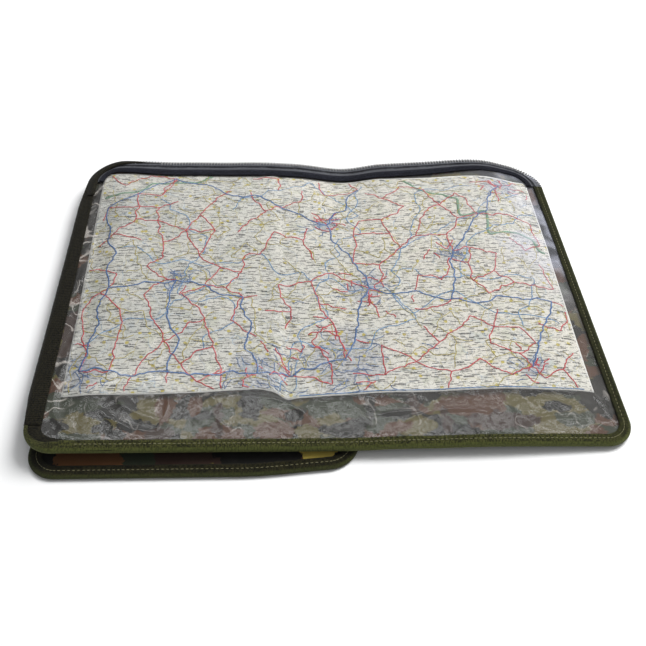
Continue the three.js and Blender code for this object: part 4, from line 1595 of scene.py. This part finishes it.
@dataclass
class ZipEdge:
    """The zip round the back edge: two tapes, a hem strip, the teeth and the slider."""

    leaf: PocketLeaf
    step: float = 0.0026
    tooth_pitch: float = 0.0036
    middle: float = 0.0019
    row_inset: float = 0.0027
    root: float = 0.0066
    tape_width: float = 0.020
    hem_width: float = 0.0105

    def narrow(self, share: float) -> float:
        """How much of the tapes' reach shows at a share of the way from right to left."""
        return 0.62 + 0.38 * smooth(share, 0.10, 0.34) * smooth(1 - share, 0.03, 0.22)

    def tape(
        self,
        name: str,
        node: str,
        section: list[Pair],
        material: bpy.types.Material,
    ) -> None:
        """Makes one zip tape.

        Args:
            name: the piece's name.
            node: the node it stands for.
            section: pairs of inset and height of its middle line.
            material: its finish.
        """
        stations = self.leaf.zip_run(self.step)

        def wave(station: Station, inset: float, row: int) -> float:
            """Slight waves along the tape."""
            return 0.00022 * ripple(station.run, inset, 0.012, 21.0 + row * 0.03)

        strip = edge_strip(stations, section, self.leaf.place, wave, self.narrow, self.root)
        piece = finish_piece(strip, name, material, 0.0007)
        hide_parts(node)

    def teeth(self) -> bpy.types.Object:
        """Makes the closed row of teeth, from the upper and lower tape by turns, and the cord."""
        bm = bmesh.new()
        stations = self.leaf.zip_run(0.0018)
        spot = 0.0009
        upper = True
        for here, there in zip(stations, stations[1:]):
            while spot < there.run:
                share = (spot - here.run) / (there.run - here.run)
                rise = self.middle + (0.0010 if upper else -0.0006)
                first = self.leaf.place(*here.inward(self.row_inset), rise)
                last = self.leaf.place(*there.inward(self.row_inset), rise)
                along = Vector((there.x - here.x, there.y - here.y, 0.0))
                turn = along.to_track_quat("X", "Z").to_matrix().to_4x4()
                size = Matrix.Diagonal((self.tooth_pitch * 0.44, 0.0050, 0.0020, 1.0))
                matrix = Matrix.Translation(first.lerp(last, share)) @ turn @ size
                cube = bmesh.ops.create_cube(bm, size=1.0, matrix=matrix)["verts"]
                soften_edges(bm, cube, 0.00035, 1)
                spot += self.tooth_pitch / 2
                upper = not upper
        teeth = finish_piece(bm, "zip_tooth_row", TOOTH_PLASTIC.material())
        teeth.data.shade_flat()
        turns = [math.tau * side / 8 for side in range(9)]
        cord_section = [
            (0.0056 + 0.0011 * math.cos(turn), self.middle + 0.0014 * math.sin(turn))
            for turn in turns
        ]
        cords = edge_strip(self.leaf.zip_run(self.step), cord_section, self.leaf.place)
        bmesh.ops.remove_doubles(cords, verts=cords.verts, dist=0.00001)
        holes = [edge for edge in cords.edges if edge.is_boundary]
        bmesh.ops.holes_fill(cords, edges=holes, sides=12)
        bmesh.ops.recalc_face_normals(cords, faces=cords.faces)
        cord = finish_piece(cords, "zip_edge_cord", ZIP_TAPE.material())
        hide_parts("zip_chain")
        return cord

    def slider(self) -> bpy.types.Object:
        """Makes the slider and its pull on the underside of the chain near the spine."""
        low, high = (Vector(corner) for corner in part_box("zip_slider"))
        centre = (low + high) / 2
        bm = bmesh.new()
        slope = self.leaf.height(0.071, self.leaf.depth) - self.leaf.height(0.060, self.leaf.depth)
        tilt = Matrix.Rotation(-math.atan2(slope, 0.011), 4, "Y")
        for offset, size in (
            (Vector((-0.0068, 0.0, 0.0006)), (0.0108, 0.0056, 0.0009)),
            (Vector((-0.0068, 0.0, -0.0006)), (0.0092, 0.0040, 0.0010)),
            (Vector((-0.0068, 0.0, -0.0013)), (0.0050, 0.0014, 0.0008)),
            (Vector((0.0035, 0.0, -0.0010)), (0.0128, 0.0027, 0.0007)),
        ):
            matrix = Matrix.Translation(centre) @ tilt @ Matrix.Translation(offset)
            matrix = matrix @ Matrix.Diagonal((*size, 1.0))
            cube = bmesh.ops.create_cube(bm, size=1.0, matrix=matrix)["verts"]
            soften_edges(bm, cube, 0.0003, 3)
        slider = finish_piece(bm, "zip_slider_body", SLIDER_METAL.material())
        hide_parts("zip_slider")
        return slider

    def build(self) -> None:
        """Makes the whole zip."""
        grey = ZIP_TAPE.material()
        top = [
            (0.0066, 0.0024),
            (0.0080, 0.0036),
            (0.0090, 0.0049),
            (0.0100, 0.0049),
            (0.0110, 0.0040),
            (0.0124, 0.0041),
            (0.0134, 0.0052),
            (0.0144, 0.0051),
            (0.0154, 0.0042),
            (0.0168, 0.0043),
            (0.0178, 0.0051),
            (0.0188, 0.0049),
            (0.0198, 0.0043),
            (0.0240, 0.0043),
        ]
        self.tape("zip_tape_top", "zip_tape_upper", top, grey)
        under = [
            (0.0066, 0.0013),
            (0.0085, 0.0006),
            (0.0105, -0.0003),
            (0.0126, -0.0008),
            (0.0175, -0.0008),
            (0.0240, -0.0008),
        ]
        self.tape("zip_tape_under", "zip_tape_lower", under, grey)
        self.hem()
        self.teeth()
        self.slider()

    def hem(self) -> None:
        """Makes the dark strip that covers the back edge of the window."""
        section = [
            (0.0193, 0.0056),
            (0.0215, 0.0058),
            (0.0238, 0.0056),
            (0.0253, 0.0050),
            (0.0266, 0.0047),
            (0.0290, 0.0046),
        ]
        stations = self.leaf.zip_run(self.step)
        strip = edge_strip(stations, section, self.leaf.place, narrow=self.narrow, root=self.root)
        piece = finish_piece(strip, "window_hem_strip", HEM_CLOTH.material(), 0.0006)
        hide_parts("window_hem")


@dataclass
class CoverLeaf:
    """The half-width leaf that is folded under the pocket, with its own binding."""

    leaf: PocketLeaf
    width: float = 0.299
    depth: float = 0.428
    corner: float = 0.028
    inset: float = 0.003
    step_out: float = 0.017
    skew: float = math.radians(1.0)
    draw_back: float = 0.0075
    zone: float = 0.04
    covered: float = 0.0115
    seat: float = 0.00135
    cell: float = 0.005
    patches: tuple[Patch, ...] = (
        Patch(0.016, 0.022, 0.028, 0.034, Dye.SOOT),
        Patch(0.058, 0.020, 0.034, 0.018, Dye.CLAY),
        Patch(0.102, 0.024, 0.018, 0.024, Dye.LEAF),
        Patch(0.147, 0.024, 0.034, 0.018, Dye.BARK),
        Patch(0.212, 0.024, 0.040, 0.034, Dye.SOOT),
        Patch(0.262, 0.022, 0.017, 0.022, Dye.STRAW),
        Patch(0.290, 0.022, 0.012, 0.034, Dye.SOOT),
    )

    def place(self, x: float, y: float, height: float) -> Vector:
        """The point in the frame at a place on this leaf, whose front draws back on the right."""
        cos, sin = math.cos(self.skew), math.sin(self.skew)
        y += self.draw_back * smooth(x, 0.19, self.width) * (1 - smooth(y, 0.0, 0.13))
        spot = Vector((self.inset + x * cos + y * sin, -self.step_out - x * sin + y * cos, height))
        return self.leaf.corner + spot

    def draw_in(self, x: float, y: float) -> float:
        """Moves x inside the rounded outline, only near the sides."""
        rise = max(self.corner - y, y - self.depth + self.corner, 0.0)
        arc = self.corner - self.seat
        inset = self.corner - math.sqrt(max(arc * arc - rise * rise, 0.0)) if rise else self.seat
        if x < self.zone:
            return inset + x / self.zone * (self.zone - inset)
        if x > self.width - self.zone:
            return self.width - inset - (self.width - x) / self.zone * (self.zone - inset)
        return x

    def build(self, tape: bpy.types.Material, thread: bpy.types.Material) -> None:
        """Makes the leaf's cloth and binding."""
        length = self.depth - 2 * self.seat
        columns, rows = round(self.width / self.cell), round(length / self.cell)

        def point(column: int, row: int) -> tuple[Vector, Vector]:
            """One grid point of the cloth, which lies on the table inside its binding."""
            y = self.seat + length * row / rows
            x = self.draw_in(self.width * column / columns, y)
            side = min(x, self.width - x, y, self.depth - y) - self.seat - self.covered
            height = 0.00210 - 0.00130 * smooth(side, 0.0, 0.03)
            height += 0.00035 * (0.5 + 0.5 * ripple(x, y, 0.03, 31.0))
            return self.place(x, y, height), Vector((x, y, 0.0))

        bm = bmesh.new()
        warp_grid(bm, columns, rows, point)
        print_finish = CamouflageCloth("cover_camouflage", offset=8.2, patches=self.patches)
        cloth = finish_piece(bm, "cover_cloth", print_finish.material(), 0.0013)
        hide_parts("cover_leaf")
        c = self.corner
        corners = [
            Corner(c, c, c, 2),
            Corner(self.width - c, c, c, 3),
            Corner(self.width - c, self.depth - c, c, 0),
            Corner(c, self.depth - c, c, 1),
        ]
        middle = self.depth / 2
        head, tail = (0.0, middle - 0.0003), (0.0, middle + 0.0003)
        stations = outline_run(corners, 0.0028, head, tail)
        binding = EdgeBinding("cover", "cover_binding", 0.0125, 0.0, 0.0042, stitch_inset=0.0075)
        binding.build(stations, self.place, tape, thread, (0.0275, stations[-1].run))


@dataclass
class Studio:
    """Pale floor, soft light and a camera at the photograph's angle."""

    eye: tuple[float, float, float] = (-0.0354, -0.6131, 0.6120)
    pitch: float = 46.65
    yaw: float = 3.39
    roll: float = 1.32
    lens: float = 44.58
    floor_size: float = 14.0
    pane_width: float = 0.31
    pane_height: float = 0.135
    sill: float = 0.765
    pane_level: float = 1.40

    def camera(self) -> None:
        """Adds the camera."""
        pitch, yaw, roll = (math.radians(angle) for angle in (self.pitch, self.yaw, self.roll))
        flat = math.cos(pitch)
        ahead = Vector((math.sin(yaw) * flat, math.cos(yaw) * flat, -math.sin(pitch)))
        level = Vector((math.cos(yaw), -math.sin(yaw), 0.0))
        rise = level.cross(ahead)
        right = level * math.cos(roll) + rise * math.sin(roll)
        up = rise * math.cos(roll) - level * math.sin(roll)
        data = bpy.data.cameras.new("camera")
        data.lens = self.lens
        data.sensor_width = 36.0
        data.clip_start, data.clip_end = 0.01, 50.0
        camera = bpy.data.objects.new("camera", data)
        turn = Matrix((right, up, -ahead)).transposed().to_4x4()
        camera.matrix_world = Matrix.Translation(self.eye) @ turn
        bpy.context.scene.collection.objects.link(camera)
        bpy.context.scene.camera = camera

    def floor(self) -> None:
        """Adds the floor."""
        bm = bmesh.new()
        bmesh.ops.create_grid(bm, x_segments=1, y_segments=1, size=self.floor_size / 2)
        bmesh.ops.translate(bm, verts=bm.verts, vec=(0.0, 0.0, -0.0003))
        mesh = bpy.data.meshes.new("floor")
        bm.to_mesh(mesh)
        bm.free()
        r = Recipe("floor_paint")
        cloud = r.noise(r.place(), 1.5, 2.0)
        shade = r.mix(cloud, (0.90, 0.90, 0.90, 1), (0.92, 0.92, 0.92, 1))
        mesh.materials.append(r.done(r.node("ShaderNodeBsdfDiffuse", {"Color": shade})))
        plane = bpy.data.objects.new("floor", mesh)
        bpy.context.scene.collection.objects.link(plane)

    def world(self) -> None:
        """Surrounds the case with a pale room, dim on the left, with high panes for the film."""
        bpy.context.scene.world = bpy.data.worlds.new("room")
        r = Recipe("room", bpy.context.scene.world)
        way = r.node("ShaderNodeTexCoord").outputs["Generated"]
        axes = r.split(way)
        side = r.span(axes[0], -0.60, -0.22, 0.22, 1.0)
        wall = r.span(axes[2], 0.15, 0.62, 0.62, 0.40)
        slant = r.math("DIVIDE", axes[0], r.math("MAXIMUM", axes[1], 0.1))
        panes = r.span(r.ribs(r.math("ADD", slant, 0.04), self.pane_width), 0.20, 0.30)
        rows = r.span(r.ribs(axes[2], self.pane_height), 0.10, 0.20)
        above = r.span(axes[2], self.sill, self.sill + 0.012)
        reach = r.math("MULTIPLY", above, r.span(axes[1], 0.05, 0.10))
        window = r.math("MULTIPLY", r.math("MULTIPLY", panes, rows), reach)
        level = r.math("MULTIPLY", side, r.math("MULTIPLY_ADD", window, self.pane_level, wall))
        back = r.node("ShaderNodeBackground", {"Color": (0.98, 0.99, 1.0, 1), "Strength": level})
        r.node("ShaderNodeOutputWorld", {"Surface": back.outputs[0]})

    def lamp(self, name: str, spot: tuple[float, float, float], size: float, power: float) -> None:
        """Adds a soft square lamp that looks at the case.

        Args:
            name: the lamp's name.
            spot: its place.
            size: its side.
            power: its power in watts.
        """
        data = bpy.data.lights.new(name, "AREA")
        data.shape = "SQUARE"
        data.size = size
        data.energy = power
        lamp = bpy.data.objects.new(name, data)
        lamp.visible_glossy = False
        turn = Vector(spot).to_track_quat("Z", "Y").to_matrix().to_4x4()
        lamp.matrix_world = Matrix.Translation(spot) @ turn
        bpy.context.scene.collection.objects.link(lamp)

    def build(self) -> None:
        """Sets the whole stage."""
        self.camera()
        self.floor()
        self.world()
        self.lamp("key_lamp", (1.45, 1.20, 1.95), 1.5, 102.0)
        scene = bpy.context.scene
        scene.view_settings.view_transform = "Standard"
        scene.view_settings.look = "None"
        scene.view_settings.exposure = 0.0
        scene.view_settings.gamma = 1.0


ZIP_TAPE = RibbedTape(
    "zip_tape",
    (0.008, 0.0085, 0.011, 1),
    (0.105, 0.108, 0.120, 1),
    0.0034,
    along=True,
    rib_share=0.75,
    speck_share=0.25,
)
HEM_CLOTH = RibbedTape(
    "hem_cloth", (0.004, 0.0045, 0.007, 1), (0.020, 0.021, 0.032, 1), 0.0011, along=True
)
SPINE_CLOTH = RibbedTape(
    "dark_cloth",
    (0.0003, 0.0003, 0.0003, 1),
    (0.017, 0.0150, 0.0075, 1),
    0.0024,
    rib_share=0.12,
    speck_share=0.9,
)
# Olive tape of the pocket's binding: its rim colour is a painted highlight on the rolled edge, and
# its run from 0.55 m on, round the right front corner and up the right side, is darkened as painted
# shade.
OLIVE_TAPE = RibbedTape(
    "olive_tape",
    (0.0050, 0.0054, 0.0016, 1),
    (0.070, 0.073, 0.021, 1),
    0.0011,
    painted_rim_highlight=(0.092, 0.106, 0.026, 1),
    painted_shade_from=0.55,
)
# Binding tape of the lower leaf: a darker copy of the olive tape as painted shade, with its rim
# colour as a painted highlight on the rolled edge.
SHADED_COVER_TAPE = RibbedTape(
    "cover_tape",
    (0.0022, 0.0021, 0.0010, 1),
    (0.026, 0.024, 0.009, 1),
    0.0011,
    painted_rim_highlight=(0.044, 0.050, 0.014, 1),
)
THREAD = PlainFinish(
    "stitch_thread", (0.20, 0.19, 0.10, 1), (0.30, 0.28, 0.17, 1), 0.7, 800.0, 0.00003
)
TOOTH_PLASTIC = PlainFinish(
    "zip_teeth", (0.045, 0.046, 0.048, 1), (0.11, 0.11, 0.108, 1), 0.42, 700.0, 0.00003
)
SLIDER_METAL = PlainFinish(
    "slider_metal", (0.03, 0.03, 0.03, 1), (0.07, 0.07, 0.068, 1), 0.35, 500.0, 0.00004, 0.8
)


def main() -> None:
    """Builds the case from the table up."""
    logging.basicConfig(level=logging.INFO, format="%(name)s %(message)s")
    Studio().build()
    leaf = PocketLeaf()
    olive = OLIVE_TAPE.material()
    thread = THREAD.material()
    CoverLeaf(leaf).build(SHADED_COVER_TAPE.material(), thread)
    PocketBack(leaf).build()
    sheet = MapSheet(leaf)
    print_lines = RoadPrint(sheet)
    sheet.build(print_lines.built_up())
    print_lines.build()
    WindowFilm(leaf, sheet).build()
    Spine(leaf).build()
    stations = leaf.front_run(0.0024)
    binding = EdgeBinding("pocket", "pocket_binding", 0.0115, -0.00135, 0.00515, taper=0.062)
    binding.build(stations, leaf.place, olive, thread, (0.028, stations[-1].run))
    ZipEdge(leaf).build()


if __name__ == "__main__":
    main()
